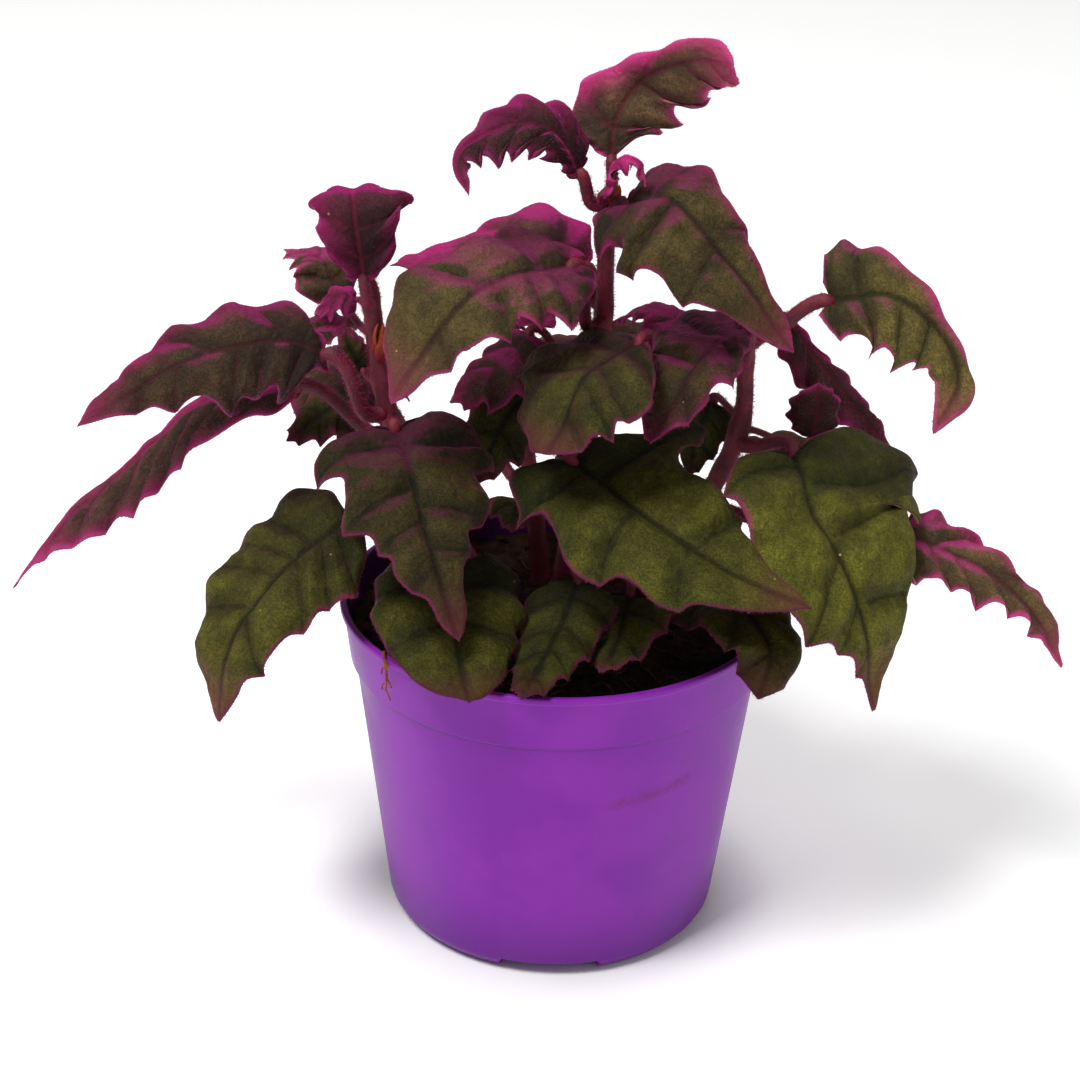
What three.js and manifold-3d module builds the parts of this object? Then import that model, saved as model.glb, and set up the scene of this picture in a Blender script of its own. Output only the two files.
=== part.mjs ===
// A potted purple passion plant: a nursery pot of soil with four hairy stems and their toothed leaves.
// Millimetres, +Z up, -Y is the front. The pieces are laid out around the middle of the pot's foot. The
// finished plant is then set with its origin on the table, under the middle of its whole box.

import * as THREE from "three";
import { mergeVertices } from "three/addons/utils/BufferGeometryUtils.js";
import Module from "manifold-3d";

const wasm = await Module();
wasm.setup();

// The pot
const RIM_RADIUS = 60;
const POT_HEIGHT = 95;
const FOOT_RADIUS = 46;
const WALL = 1.3;
const LIP_HEIGHT = 2.2;
const LIP_PROUD = 0.7;
const LIP_EDGE = 0.4;
const BAND_HEIGHT = 16.5;
const BAND_STEP = 1.3;
const INNER_STEP = 2;
const FOOT_CORNER = 5;
const FOOT_RING_WIDTH = 5;
const FLOOR_RISE = 5;
const NOTCHES = 4;
const NOTCH_WIDTH = 28;
const NOTCH_HEIGHT = 4.2;
const NOTCH_TURN = 0;
const DRAIN_RADIUS = 3.5;
const DRAIN_RING = 27;
const POT_SIDES = 48;

// The soil
const SOIL_TOP = 86;
const SOIL_SIDES = 30;
const SOIL_RINGS = 6;
const LUMP_HEIGHT = 1.3;
const GAP = 0.3;

// The stems: foot in the soil, then points up the middle of the stem, and its thickness at both ends
const STEM_SIDES = 8;
const STEM_STEPS = 9;
const STEMS = {
  tall: {
    foot: [0, 7, 64],
    path: [[2, 6, 98], [6, 6, 132], [10, 4, 172], [10, 1, 211]],
    thick: 6.4,
    slim: 4.2,
  },
  left: {
    foot: [-13, 3, 64],
    path: [[-22, 2, 96], [-36, 0, 128], [-47, -3, 152], [-51, -5, 188]],
    thick: 6,
    slim: 4,
  },
  right: {
    foot: [14, 6, 64],
    path: [[24, 4, 98], [40, 0, 126], [48, -1, 150], [47, 4, 174]],
    thick: 6,
    slim: 4.2,
  },
  back: {
    foot: [-3, 21, 64],
    path: [[-6, 30, 98], [-10, 42, 124], [-12, 50, 146]],
    thick: 5.6,
    slim: 4,
  },
};

// The leaves: the stem that each grows from and the height of its joint there, points along its midrib
// from the foot of the blade to the tip, and how wide the blade is on the left and the right of the rib,
// seen from the stalk. The top of the blade looks up, or to where faces says, and roll then turns it about
// its midrib. Fold, curl and rolled are how steeply the halves fall away at the rib, on the way out and
// right at the edge. Two values in brackets are for the left and the right half.
// Age runs from 0 for a young purple leaf to 1 for an old green one. A leaf with its own outline gives it as
// leftEdge and rightEdge, points along and out from the rib, from the foot to the tip. The others have a
// regular one: teeth are counted on one side, a small taper makes a blunt leaf, and a negative lobe makes
// the lower lobes reach back past the end of the stalk.
const LEAVES = [
  {
    name: "leaf_tall_1", stem: "tall", joint: 209,
    rib: [[11, 3, 219], [12, 7, 228], [18, 7, 238], [30, -2, 246], [40, -10, 247]],
    left: 15, right: 21, roll: 35, fold: 5, curl: [12, 25], rolled: 60, teeth: 4, age: 0.3,
    lobe: 0.2, taper: 1.1, faces: [-0.1, -0.8, 0.6],
    leftEdge: [[0, 2], [2, 5], [7, 10.5], [10, 16], [12, 15], [14, 12.5], [17, 10.5], [22, 7.5],
      [28, 5.5], [38, 5.5], [46, 6], [51, 3], [52, 0]],
    rightEdge: [[1, 1], [10, 10], [11, 13.5], [12.5, 11], [17, 14], [17.5, 18.5], [22, 12.5], [26, 11],
      [32.5, 13], [33.5, 17], [38, 10.5], [41, 8.5], [44, 8.5], [45.5, 12], [49, 6], [50.5, 7.5],
      [52, 0]],
  },
  {
    name: "leaf_tall_2", stem: "tall", joint: 207,
    rib: [[3, -3, 217], [-5, -5, 229], [-18, -8, 230], [-28, -12, 223], [-25, -16, 214]],
    left: 12, right: 10, roll: -45, fold: 10, curl: [25, 0], rolled: 60, teeth: 5, age: 0.1,
    lobe: 0.2,
    leftEdge: [[0, 2], [3, 5.5], [8, 5], [10, 8], [11, 6], [18, 7.5], [19.5, 11], [21, 7.5], [25, 7],
      [27, 10.5], [32, 7], [34, 10.5], [35.5, 5.5], [40, 7.5], [41, 3.5], [45, 4.5], [52, 0]],
    rightEdge: [[0, 4], [1, 9], [5, 13], [12, 12], [18, 10], [24, 8], [31, 5], [38, 2], [45, 1.4],
      [52, 0]],
  },
  {
    name: "leaf_tall_3", stem: "tall", joint: 208.5,
    rib: [[8.5, -5, 212], [9.5, -9, 219], [13.5, -11, 223.5], [18, -12, 222], [19.5, -13, 216.5]],
    left: 4, right: 4.5, roll: 30, fold: 20, curl: 30, teeth: 3, age: 0,
  },
  {
    name: "leaf_tall_4", stem: "tall", joint: 198,
    rib: [[14, -8, 211], [26, -18, 215], [40, -28, 203], [57, -34, 181]],
    left: 21, right: 22, roll: 34, fold: 5, curl: [12, 25], rolled: [35, 60], teeth: 4, age: 0.5,
    leftEdge: [[-1, 4], [-3, 12], [-2, 20], [5, 23], [12, 19.5], [18, 16.5], [24, 15], [27, 12],
      [31, 11], [35, 13], [38, 9], [46, 6.5], [52, 5], [59, 4.5], [66, 0]],
    rightEdge: [[-2, 2], [-7, 5], [-5, 10], [0, 18], [4, 16], [12, 22], [20, 25], [26, 27], [26, 19],
      [31, 17], [36, 19], [40, 18], [41, 13.5], [47, 10], [54, 7], [62, 3], [66, 0]],
  },
  {
    name: "leaf_tall_5", stem: "tall", joint: 172,
    rib: [[1, -8, 194], [-14, -22, 196], [-29, -34, 189], [-43, -42, 168]],
    left: 24, right: 24, roll: -22, fold: 5, curl: 12, rolled: [35, 60], teeth: 4, age: 0.5,
    leftEdge: [[-4, 3], [-5, 6], [9, 18], [15, 21], [18, 15], [21, 15], [24, 18], [28, 12.5], [31, 14],
      [35, 17], [39, 12], [44, 10.5], [48, 8.5], [53, 9], [57, 5], [63, 3], [68, 0]],
    rightEdge: [[-7, 2], [-9, 9], [-3, 12], [-3, 19], [3, 25], [10, 22], [18, 19], [27, 17.5],
      [34, 19], [40, 23], [46, 22], [52, 18], [58, 12], [63, 6], [68, 0]],
  },
  {
    name: "leaf_tall_6", stem: "tall", joint: 178,
    rib: [[5, 8, 188], [-10, 16, 194], [-31, 18, 186], [-47, 12, 185]],
    left: 14, right: 18, roll: -20, fold: 15, curl: 25, teeth: 4, age: 0.2,
    lobe: 0,
    leftEdge: [[0, 4], [8, 9], [20, 11], [34, 9], [46, 6], [56, 0]],
    rightEdge: [[0, 4], [6, 12], [12, 17], [18, 17], [26, 17], [34, 14], [44, 9], [52, 5], [56, 0]],
  },
  {
    name: "leaf_tall_7", stem: "tall", joint: 156,
    rib: [[-10, 10, 168], [-17, 4, 162], [-30, -4, 153]],
    left: 16, right: 14, roll: 0, fold: 15, curl: 25, teeth: 3, age: 0.25,
  },
  {
    name: "leaf_tall_8", stem: "tall", joint: 162,
    rib: [[18, -23, 179], [5, -36, 174], [-4, -46, 157]],
    left: 20, right: 22, roll: -5, fold: 10, curl: [12, 0], rolled: 35, teeth: 4, age: 0.8,
    taper: 0.6,
    leftEdge: [[-2, 2], [3, 9], [8, 14], [12, 18], [18, 20.5], [23, 20], [26, 18], [27, 15], [32, 16],
      [32, 11], [37, 9], [39, 5], [41, 0]],
    rightEdge: [[-3, 3], [-6, 12], [-7, 24], [-4, 34], [3, 38], [13, 35], [21, 32], [24, 27], [29, 27],
      [34, 22], [38, 15], [41, 8], [41, 0]],
  },
  {
    name: "leaf_tall_9", stem: "tall", joint: 128,
    rib: [[3, -20, 144], [20, -41, 140], [39, -54, 132], [63, -64, 124.5]],
    left: 29, right: 26, roll: 35, fold: 8, curl: [12, 0], rolled: [15, 35], teeth: 4, age: 1,
    leftEdge: [[-5, 2], [-5, 10], [0, 19], [2, 30], [0, 40], [3, 44], [9, 36], [13, 26], [17, 22],
      [31, 22.5], [41, 20.5], [49, 20], [51, 15], [57, 11], [64, 7], [72, 4], [78, 0]],
    rightEdge: [[-6, 4], [-11, 12], [-6, 17], [0, 20.5], [3, 24], [7, 17], [12, 18], [27, 23.5],
      [33, 23], [35, 18], [40, 16.5], [46, 17.5], [51, 16.5], [53, 12.5], [65, 7.5], [72, 4], [78, 0]],
  },
  {
    name: "leaf_tall_10", stem: "tall", joint: 106,
    rib: [[5, -22, 110.5], [-1, -42, 103], [-9, -64, 97]],
    left: 13, right: 13, roll: 0, fold: 5, curl: 15, teeth: 4, age: 1,
    taper: 0.7,
  },
  {
    name: "leaf_tall_11", stem: "tall", joint: 100,
    rib: [[19, -24, 107.5], [15.5, -39, 102], [11, -49, 97]],
    left: 13, right: 13, roll: 0, fold: 5, curl: 15, teeth: 3, age: 1,
  },
  {
    name: "leaf_left_1", stem: "left", joint: 182,
    rib: [[-52, -11, 190], [-53.5, -15, 205], [-54.5, -10, 213], [-54.5, 4, 207]],
    left: 13, right: 13, roll: 0, fold: 5, curl: 0, rolled: 60, teeth: 3, age: 0,
    lobe: 0.6, taper: 0.5, faces: [0, -1, 0.2],
    leftEdge: [[-1, 3], [1, 6], [7, 7.5], [10, 8.5], [14, 12], [17, 9], [20, 9.5], [23, 13], [26, 11],
      [30, 10], [36, 6], [41, 0]],
    rightEdge: [[-1, 2], [1, 5], [6, 8.5], [10, 9.5], [14, 13], [17, 11], [21, 12], [22, 18], [26, 13],
      [30, 11], [36, 6], [41, 0]],
  },
  {
    name: "leaf_left_2", stem: "left", joint: 176,
    rib: [[-55, 3, 179], [-60, 2, 180], [-66, 1, 175]],
    left: 6, right: 6, roll: -10, fold: 10, curl: 10, teeth: 3, age: 0.1,
  },
  {
    name: "leaf_left_3", stem: "left", joint: 158,
    rib: [[-53, -2, 161], [-56, -3, 167], [-58, -2, 172]],
    left: 6, right: 6, roll: 0, fold: 0, curl: 20, teeth: 3, age: 0.8,
    faces: [0.2, -1, 0.1],
  },
  {
    name: "leaf_left_4", stem: "left", joint: 171,
    rib: [[-60, 12, 177], [-66, 18, 186], [-76, 24, 185]],
    left: 11, right: 11, roll: 0, fold: 10, curl: 20, teeth: 3, age: 0.4,
  },
  {
    name: "leaf_left_5", stem: "left", joint: 160,
    rib: [[-59, 12, 167], [-67, 18, 168], [-76, 24, 161]],
    left: 9, right: 9, roll: 0, fold: 10, curl: 20, teeth: 3, age: 0.4,
  },
  {
    name: "leaf_left_6", stem: "left", joint: 150,
    rib: [[-62, -12, 170], [-76, -14, 174], [-100, -18, 168], [-125, -26, 153]],
    left: 20, right: 17, roll: -52, fold: 15, curl: [12, 25], rolled: 60, teeth: 4, age: 0.3,
    leftEdge: [[-1, 2], [-3, 7], [1, 5], [3, 9], [7, 19], [13, 13], [18, 13], [23, 18], [26, 15],
      [31, 19], [35, 12.5], [42, 10], [47, 11.5], [51, 7], [56, 7.5], [60, 3.5], [70, 0]],
    rightEdge: [[0, 3], [4, 7], [9, 11], [15, 14], [22, 15], [30, 14], [36, 11.5], [41, 12.5],
      [46, 11.5], [50, 7], [56, 7], [63, 4.5], [70, 0]],
  },
  {
    name: "leaf_left_7", stem: "left", joint: 142,
    rib: [[-72, 4, 154], [-96, 6, 149], [-120, 8, 126], [-137, 5, 111], [-150, 0, 94]],
    left: 18, right: 13, roll: -14, fold: 15, curl: [12, 25], rolled: [35, 60], teeth: 4, age: 0.2,
    lobe: 0.4, taper: 0.65,
    leftEdge: [[0, 5], [6, 9], [11, 9], [20, 12], [28, 13], [35, 12], [41, 14], [46, 13], [52, 14.5],
      [56, 13], [62, 15], [66, 12], [72, 13.5], [84, 9], [92, 4], [97, 1], [105, 0]],
    rightEdge: [[0, 4], [8, 6], [20, 4], [33, 3], [58, 2.5], [80, 3.5], [90, 2.5], [98, 1.5], [105, 0]],
  },
  {
    name: "leaf_left_8", stem: "left", joint: 145,
    rib: [[-44, -14, 150], [-39, -32, 146], [-32, -51, 130], [-25, -60, 111]],
    left: 22, right: 27, roll: 0, fold: 5, curl: [12, 25], rolled: [60, 35], teeth: 4, age: 0.6,
    leftEdge: [[-3, 4], [-8, 12], [-11, 19], [-6, 27], [3, 31], [9, 28], [17, 22], [24, 21],
      [30, 21.5], [36, 20], [38, 13.5], [42, 11.5], [46, 12], [48, 8.5], [55, 6.5], [63, 4], [67, 0]],
    rightEdge: [[-1, 2], [-1, 8], [1, 15], [7, 22], [15, 27], [18, 17.5], [22, 18], [28, 20.5],
      [34, 21], [36, 14.5], [41, 14], [43, 10.5], [47, 10.5], [52, 8], [55, 4.5], [62, 3], [67, 0]],
  },
  {
    name: "leaf_left_9", stem: "left", joint: 118,
    rib: [[-56, -16, 125], [-73, -30, 115], [-86, -40, 98], [-89, -42, 76]],
    left: 22, right: 30, roll: -12, fold: 8, curl: 25, rolled: 35, teeth: 4, age: 0.9,
    taper: 0.75,
    leftEdge: [[0, 6], [6, 14], [10, 17], [15, 20], [19, 18], [24, 18.5], [27, 16], [34, 17], [37, 14],
      [42, 12.5], [48, 12], [53, 13], [55, 8], [62, 5], [71, 0]],
    rightEdge: [[-1, 4], [-4, 14], [-3, 24], [2, 30], [8, 29], [14, 26], [19, 25], [25, 24.5],
      [29, 24], [34, 24.5], [39, 21], [46, 19], [51, 15.5], [59, 12.5], [66, 8], [71, 0]],
  },
  {
    name: "leaf_left_10", stem: "left", joint: 104,
    rib: [[-29, -26, 116], [-27, -46, 109], [-22, -68, 98]],
    left: 20, right: 20, roll: 0, fold: 5, curl: 25, rolled: [35, 15], teeth: 4, age: 1,
    taper: 0.5,
    leftEdge: [[-2, 5], [-7, 13], [-5, 19], [4, 22], [15, 21.5], [23, 18.5], [29, 16], [38, 11],
      [44, 5], [46, 0]],
    rightEdge: [[-2, 5], [-5, 12], [-2, 18], [9, 21], [18, 20.5], [24, 18.5], [32, 15], [40, 10],
      [46, 0]],
  },
  {
    name: "leaf_left_12", stem: "left", joint: 130,
    rib: [[-54, 10, 144], [-63, 12, 144], [-75, 9, 135]],
    left: 11, right: 11, roll: -25, fold: 5, curl: 20, teeth: 3, age: 0.7,
  },
  {
    name: "leaf_tall_13", stem: "tall", joint: 138,
    rib: [[-4, 12, 150], [-14, 8, 146], [-23, -2, 128]],
    left: 14, right: 14, roll: -20, fold: 5, curl: 20, teeth: 3, age: 0.8,
  },
  {
    name: "leaf_right_1", stem: "right", joint: 170,
    rib: [[69, 0, 183], [84, -4, 186], [98, -8, 177], [103, -12, 165], [96, -20, 154]],
    left: 14, right: 20, roll: 45, fold: 0, curl: [25, 12], rolled: 35, teeth: 5, age: 0.6,
    taper: 1.2,
    leftEdge: [[-2, 5], [-2, 12], [-2, 20], [2, 22], [8, 18.5], [13, 12.5], [20, 8.5], [26, 5.5],
      [34, 3], [43, 3], [49, 5], [56, 3], [63, 0]],
    rightEdge: [[-3, 4], [2, 11.5], [4, 10.5], [8, 11.5], [13, 14.5], [17.5, 19], [19, 16], [22, 13],
      [26, 13.5], [29, 15], [31, 17.5], [35, 10.5], [37.5, 12.5], [39, 8.5], [44, 8.5], [52, 6],
      [63, 0]],
  },
  {
    name: "leaf_right_2", stem: "right", joint: 168,
    rib: [[62, 20, 168], [76, 22, 149], [95, 26, 125.5]],
    left: 9, right: 12, roll: 50, fold: 10, curl: 25, rolled: 60, teeth: 4, age: 0.1,
    leftEdge: [[0, 2], [9, 3], [20, 4], [30, 6], [34, 4], [42, 6], [45, 3], [51, 0]],
    rightEdge: [[0, 5], [5, 8], [14, 8.5], [19, 9], [22, 6.5], [31, 7.5], [34, 4.5], [43, 5], [46, 2],
      [51, 0]],
  },
  {
    name: "leaf_right_3", stem: "right", joint: 146,
    rib: [[68, 6, 141], [69, 10, 148], [69, 12, 155]],
    left: 8, right: 8, roll: 0, fold: 0, curl: 20, teeth: 3, age: 0.1,
    faces: [0.1, -1, 0.1],
    leftEdge: [[0, 3], [2, 6.5], [6, 8.5], [11, 7], [15, 0]],
    rightEdge: [[0, 3], [2, 6.5], [6, 8], [11, 7], [15, 0]],
  },
  {
    name: "leaf_right_4", stem: "right", joint: 164,
    rib: [[45, -14, 180], [33, -28, 176], [22, -40, 158]],
    left: 16, right: 20, roll: -7, fold: 10, curl: [25, 0], rolled: [60, 35], teeth: 4, age: 0.4,
    leftEdge: [[0, 4], [6, 7.5], [12, 10], [16, 12], [20, 14], [22, 9], [27, 8.5], [31, 8], [35, 7.5],
      [37, 4], [43, 0]],
    rightEdge: [[-3, 3], [-9, 13], [-12, 24], [-8, 31], [-1, 30], [6, 25], [13, 23], [18, 20],
      [23, 13], [30, 12], [36, 10], [41, 6], [43, 0]],
  },
  {
    name: "leaf_right_5", stem: "right", joint: 166,
    rib: [[34, 14, 170], [23, 22, 172], [13, 26, 165]],
    left: 9, right: 9, roll: 0, fold: 10, curl: 20, teeth: 3, age: 0.3,
  },
  {
    name: "leaf_right_6", stem: "right", joint: 143,
    rib: [[61, -14, 146], [66, -31, 135.5], [78, -41, 115.5], [83, -45, 85.5]],
    left: 36, right: 27, roll: 12, fold: 5, curl: 0, rolled: 35, teeth: 4, age: 1,
    lobe: -0.15,
    leftEdge: [[-2, 3], [-7, 10], [-14, 24], [-16, 36], [-12, 46], [-6, 52], [2, 46], [12, 44],
      [29, 46], [34, 39.5], [40, 35], [47, 31.5], [54, 30], [57, 24], [62, 18], [74, 5.5], [78, 0]],
    rightEdge: [[0, 5], [2, 13], [7, 19], [14, 25], [16, 22], [20, 21.5], [24, 23.5], [30, 24.5],
      [36, 23.5], [45, 21], [52, 21], [53, 13.5], [58, 10.5], [60, 6], [66, 5], [68, 2.5], [78, 0]],
  },
  {
    name: "leaf_right_7", stem: "right", joint: 124,
    rib: [[93, -2, 117], [111, -8, 112], [127, -14, 102], [137, -18, 85]],
    left: 10, right: 13, roll: 20, fold: 10, curl: [0, 25], rolled: 60, teeth: 4, age: 0.4,
    leftEdge: [[0, 14], [5, 15], [12, 12.5], [22, 10.5], [31, 7.5], [42, 7], [52, 6], [57, 4], [60, 0]],
    rightEdge: [[0, 5], [4, 10], [9, 14.5], [14, 8.5], [18, 9.5], [20, 11.5], [25, 8], [29, 11.5],
      [33, 5.5], [36.5, 5.5], [38.5, 7.5], [40, 4.5], [43, 2.5], [46, 3], [47.5, 5.5], [49, 2.5],
      [60, 0]],
  },
  {
    name: "leaf_right_8", stem: "right", joint: 149,
    rib: [[40, 11, 149], [37, 13, 138], [35, 13, 125]],
    left: 10, right: 10, roll: 0, fold: 10, curl: 20, teeth: 3, age: 1,
  },
  {
    name: "leaf_right_9", stem: "right", joint: 106,
    rib: [[39, -12, 103], [49, -35, 109], [55, -46, 104], [52, -52, 92]],
    left: 15, right: 15, roll: 0, fold: 5, curl: 15, teeth: 3, age: 1,
    taper: 0.55,
  },
  {
    name: "leaf_right_10", stem: "right", joint: 134,
    rib: [[58, 16, 132], [74, 34, 128], [86, 50, 108]],
    left: 19, right: 19, roll: 0, fold: 10, curl: 20, teeth: 4, age: 0.8,
  },
  {
    name: "leaf_left_11", stem: "left", joint: 134,
    rib: [[-50, 18, 144], [-70, 38, 146], [-88, 58, 126]],
    left: 19, right: 19, roll: 0, fold: 10, curl: 20, teeth: 4, age: 0.7,
  },
  {
    name: "leaf_tall_12", stem: "tall", joint: 144,
    rib: [[14, 16, 158], [26, 34, 162], [40, 54, 146]],
    left: 19, right: 19, roll: 0, fold: 10, curl: 20, teeth: 4, age: 0.7,
  },
  {
    name: "leaf_back_1", stem: "back", joint: 142,
    rib: [[-18, 56, 152], [-34, 72, 152], [-48, 88, 132]],
    left: 20, right: 20, roll: 0, fold: 10, curl: 20, teeth: 4, age: 0.5,
  },
  {
    name: "leaf_back_2", stem: "back", joint: 138,
    rib: [[-4, 60, 142], [6, 82, 140], [12, 102, 118]],
    left: 20, right: 20, roll: 0, fold: 10, curl: 20, teeth: 4, age: 0.6,
  },
  {
    name: "leaf_back_3", stem: "back", joint: 144,
    rib: [[-9, 55, 153], [-7, 61, 162], [1, 68, 166]],
    left: 9, right: 9, roll: 0, fold: 10, curl: 20, teeth: 3, age: 0,
  },
  {
    name: "leaf_back_4", stem: "back", joint: 112,
    rib: [[-22, 52, 116], [-40, 68, 112], [-56, 82, 92]],
    left: 21, right: 21, roll: 0, fold: 5, curl: 18, teeth: 4, age: 0.9,
  },
  {
    name: "leaf_back_5", stem: "back", joint: 106,
    rib: [[6, 48, 110], [26, 62, 108], [44, 76, 90]],
    left: 21, right: 21, roll: 0, fold: 5, curl: 18, teeth: 4, age: 0.9,
  },
  {
    name: "leaf_back_6", stem: "back", joint: 104,
    rib: [[-9, 26, 110], [-12, 17, 115], [-13, 7, 110]],
    left: 11, right: 11, roll: 0, fold: 5, curl: 18, teeth: 3, age: 0.9,
  },
];
const BLADE_THICKNESS = 0.7;
const RIB_DEPTH = 0.9;
const FULLNESS = 1.16;
const FOOT_WIDTH = 0.4;
const FOOT_LENGTH = 0.07;
const TAPER = 0.9;
const LOBE_SLANT = -0.1;
const ROW_SLANT = 0.6;
const VEIN_PACE = 1.8;
const VEIN_ARCH = 1.3;
const YOUNG_ROLL = 65;
const OLD_ROLL = 30;
const ROLL_START = 0.66;
const ROLL_END = 1.04;
const BEND_STEPS = 8;
const TOOTH_BITE = 0.26;
const FIRST_TOOTH = 0.03;
const TOOTHED_LENGTH = 0.85;
const TIP_WIDTH = 0.6;
const TIP_DEPTH = 0.35;
const STALK_STEPS = 3;
const BLADE_STEPS = 20;

const POT_FINISH = { color: 0x8a35a8, roughness: 0.35 };
const SOIL_FINISH = { color: 0x2a1a12, roughness: 0.95 };
const STEM_FINISH = { color: 0x7a1830, roughness: 0.7 };
const LEAF_ROUGHNESS = 0.75;
const YOUNG_COLOUR = 0x8a2255;
const OLD_COLOUR = 0x4a5a28;

const vector = ([x, y, z]) => new THREE.Vector3(x, y, z);

// Cutting and joining: a closed geometry to a solid, and a solid back to a geometry.
function solidOf(geometry) {
  const bare = geometry.clone();
  bare.deleteAttribute("normal");
  bare.deleteAttribute("uv");
  const merged = mergeVertices(bare, 1e-4);
  return new wasm.Manifold(
    new wasm.Mesh({
      numProp: 3,
      vertProperties: merged.attributes.position.array,
      triVerts: new Uint32Array(merged.index.array),
    }),
  );
}

function geometryOf(solid) {
  const mesh = solid.getMesh();
  const geometry = new THREE.BufferGeometry();
  geometry.setAttribute("position", new THREE.BufferAttribute(mesh.vertProperties, mesh.numProp));
  geometry.setIndex(new THREE.BufferAttribute(mesh.triVerts, 1));
  return geometry;
}

// A closed skin over rings of points: every ring has the same number of points, seen counterclockwise
// from where the rings come from. leaning(k) tells which diagonal splits the four-sided face k.
function skin(rings, leaning) {
  const count = rings[0].length;
  const positions = rings.flat().flatMap((p) => [p.x, p.y, p.z]);
  const faces = [];
  for (let j = 0; j + 1 < rings.length; j++) {
    for (let k = 0; k < count; k++) {
      const next = (k + 1) % count;
      const a = j * count + k;
      const b = j * count + next;
      const c = b + count;
      const d = a + count;
      if (leaning(k)) faces.push(a, b, d, b, c, d);
      else faces.push(a, b, c, a, c, d);
    }
  }
  const last = (rings.length - 1) * count;
  for (let k = 1; k + 1 < count; k++) {
    faces.push(0, k + 1, k);
    faces.push(last, last + k, last + k + 1);
  }
  const geometry = new THREE.BufferGeometry();
  geometry.setAttribute("position", new THREE.Float32BufferAttribute(positions, 3));
  geometry.setIndex(faces);
  return geometry;
}

// The pot: one thin moulded wall with a lip, a deeper band under it and a notched foot ring.
const bodyRadius = (z) => FOOT_RADIUS + ((RIM_RADIUS - LIP_PROUD - BAND_STEP - FOOT_RADIUS) * z) / POT_HEIGHT;

function potProfile() {
  const bandFoot = POT_HEIGHT - BAND_HEIGHT;
  const lipFoot = POT_HEIGHT - LIP_HEIGHT;
  const ringRadius = FOOT_RADIUS - FOOT_CORNER + 1;
  const points = [
    [0, FLOOR_RISE],
    [ringRadius - FOOT_RING_WIDTH, FLOOR_RISE],
    [ringRadius - FOOT_RING_WIDTH + 0.5, 0],
    [ringRadius, 0],
  ];
  for (const degrees of [30, 60, 90]) {
    const angle = THREE.MathUtils.degToRad(degrees);
    const swing = FOOT_CORNER * Math.sin(angle);
    const rise = FOOT_CORNER * (1 - Math.cos(angle));
    points.push([bodyRadius(rise) - FOOT_CORNER + swing, rise]);
  }
  points.push([bodyRadius(bandFoot - LIP_EDGE), bandFoot - LIP_EDGE]);
  points.push([bodyRadius(bandFoot) + BAND_STEP, bandFoot]);
  points.push([bodyRadius(lipFoot) + BAND_STEP, lipFoot]);
  points.push([RIM_RADIUS, lipFoot + LIP_EDGE]);
  points.push([RIM_RADIUS, POT_HEIGHT - LIP_EDGE]);
  points.push([RIM_RADIUS - LIP_EDGE, POT_HEIGHT]);
  points.push([insideRadius(POT_HEIGHT), POT_HEIGHT]);
  points.push([insideRadius(bandFoot + INNER_STEP), bandFoot + INNER_STEP]);
  points.push([insideRadius(bandFoot - WALL), bandFoot - WALL]);
  points.push([insideRadius(FLOOR_RISE + FOOT_CORNER) - LIP_EDGE, FLOOR_RISE + FOOT_CORNER]);
  points.push([insideRadius(FLOOR_RISE) - FOOT_CORNER, FLOOR_RISE + WALL]);
  points.push([0, FLOOR_RISE + WALL]);
  return points.map(([r, z]) => new THREE.Vector2(r, z));
}

function insideRadius(z) {
  const bandFoot = POT_HEIGHT - BAND_HEIGHT;
  return bodyRadius(z) - WALL + (z >= bandFoot ? BAND_STEP : 0);
}

function potGeometry() {
  let solid = solidOf(new THREE.LatheGeometry(potProfile(), POT_SIDES).rotateX(Math.PI / 2));
  for (let i = 0; i < NOTCHES; i++) {
    const turn = NOTCH_TURN + (i * 2 * Math.PI) / NOTCHES - Math.PI / 2;
    const notch = new THREE.BoxGeometry(2 * FOOT_CORNER + FOOT_RING_WIDTH, NOTCH_WIDTH, 2 * NOTCH_HEIGHT);
    notch.translate(FOOT_RADIUS - FOOT_CORNER, 0, 0).rotateZ(turn);
    const drain = new THREE.CylinderGeometry(DRAIN_RADIUS, DRAIN_RADIUS, 4 * FLOOR_RISE, 10);
    drain.rotateX(Math.PI / 2).translate(DRAIN_RING, 0, FLOOR_RISE).rotateZ(turn);
    solid = solid.subtract(solidOf(notch)).subtract(solidOf(drain));
  }
  return geometryOf(solid);
}

// A stem's middle line: straight through the soil, then along its points.
function stemCurve({ foot, path }) {
  const [low, high, ...rest] = [foot, ...path].map(vector);
  return new THREE.CatmullRomCurve3([low, low.clone().lerp(high, 0.6), high, ...rest], false, "catmullrom");
}

function stemRadius({ thick, slim }, along) {
  return (thick + (slim - thick) * along) / 2;
}

function stemGeometry(stem) {
  const curve = stemCurve(stem);
  const rings = [];
  for (let j = 0; j <= STEM_STEPS; j++) {
    const along = j / STEM_STEPS;
    const middle = curve.getPointAt(along);
    const tangent = curve.getTangentAt(along);
    const east = new THREE.Vector3(1, 0, 0).addScaledVector(tangent, -tangent.x).normalize();
    const north = tangent.clone().cross(east);
    const radius = stemRadius(stem, along) * (j === STEM_STEPS ? 0.6 : 1);
    rings.push(
      Array.from({ length: STEM_SIDES }, (_, k) => {
        const angle = (2 * Math.PI * k) / STEM_SIDES;
        return middle
          .clone()
          .addScaledVector(east, radius * Math.cos(angle))
          .addScaledVector(north, radius * Math.sin(angle));
      }),
    );
  }
  return skin(rings, () => true);
}

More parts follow.
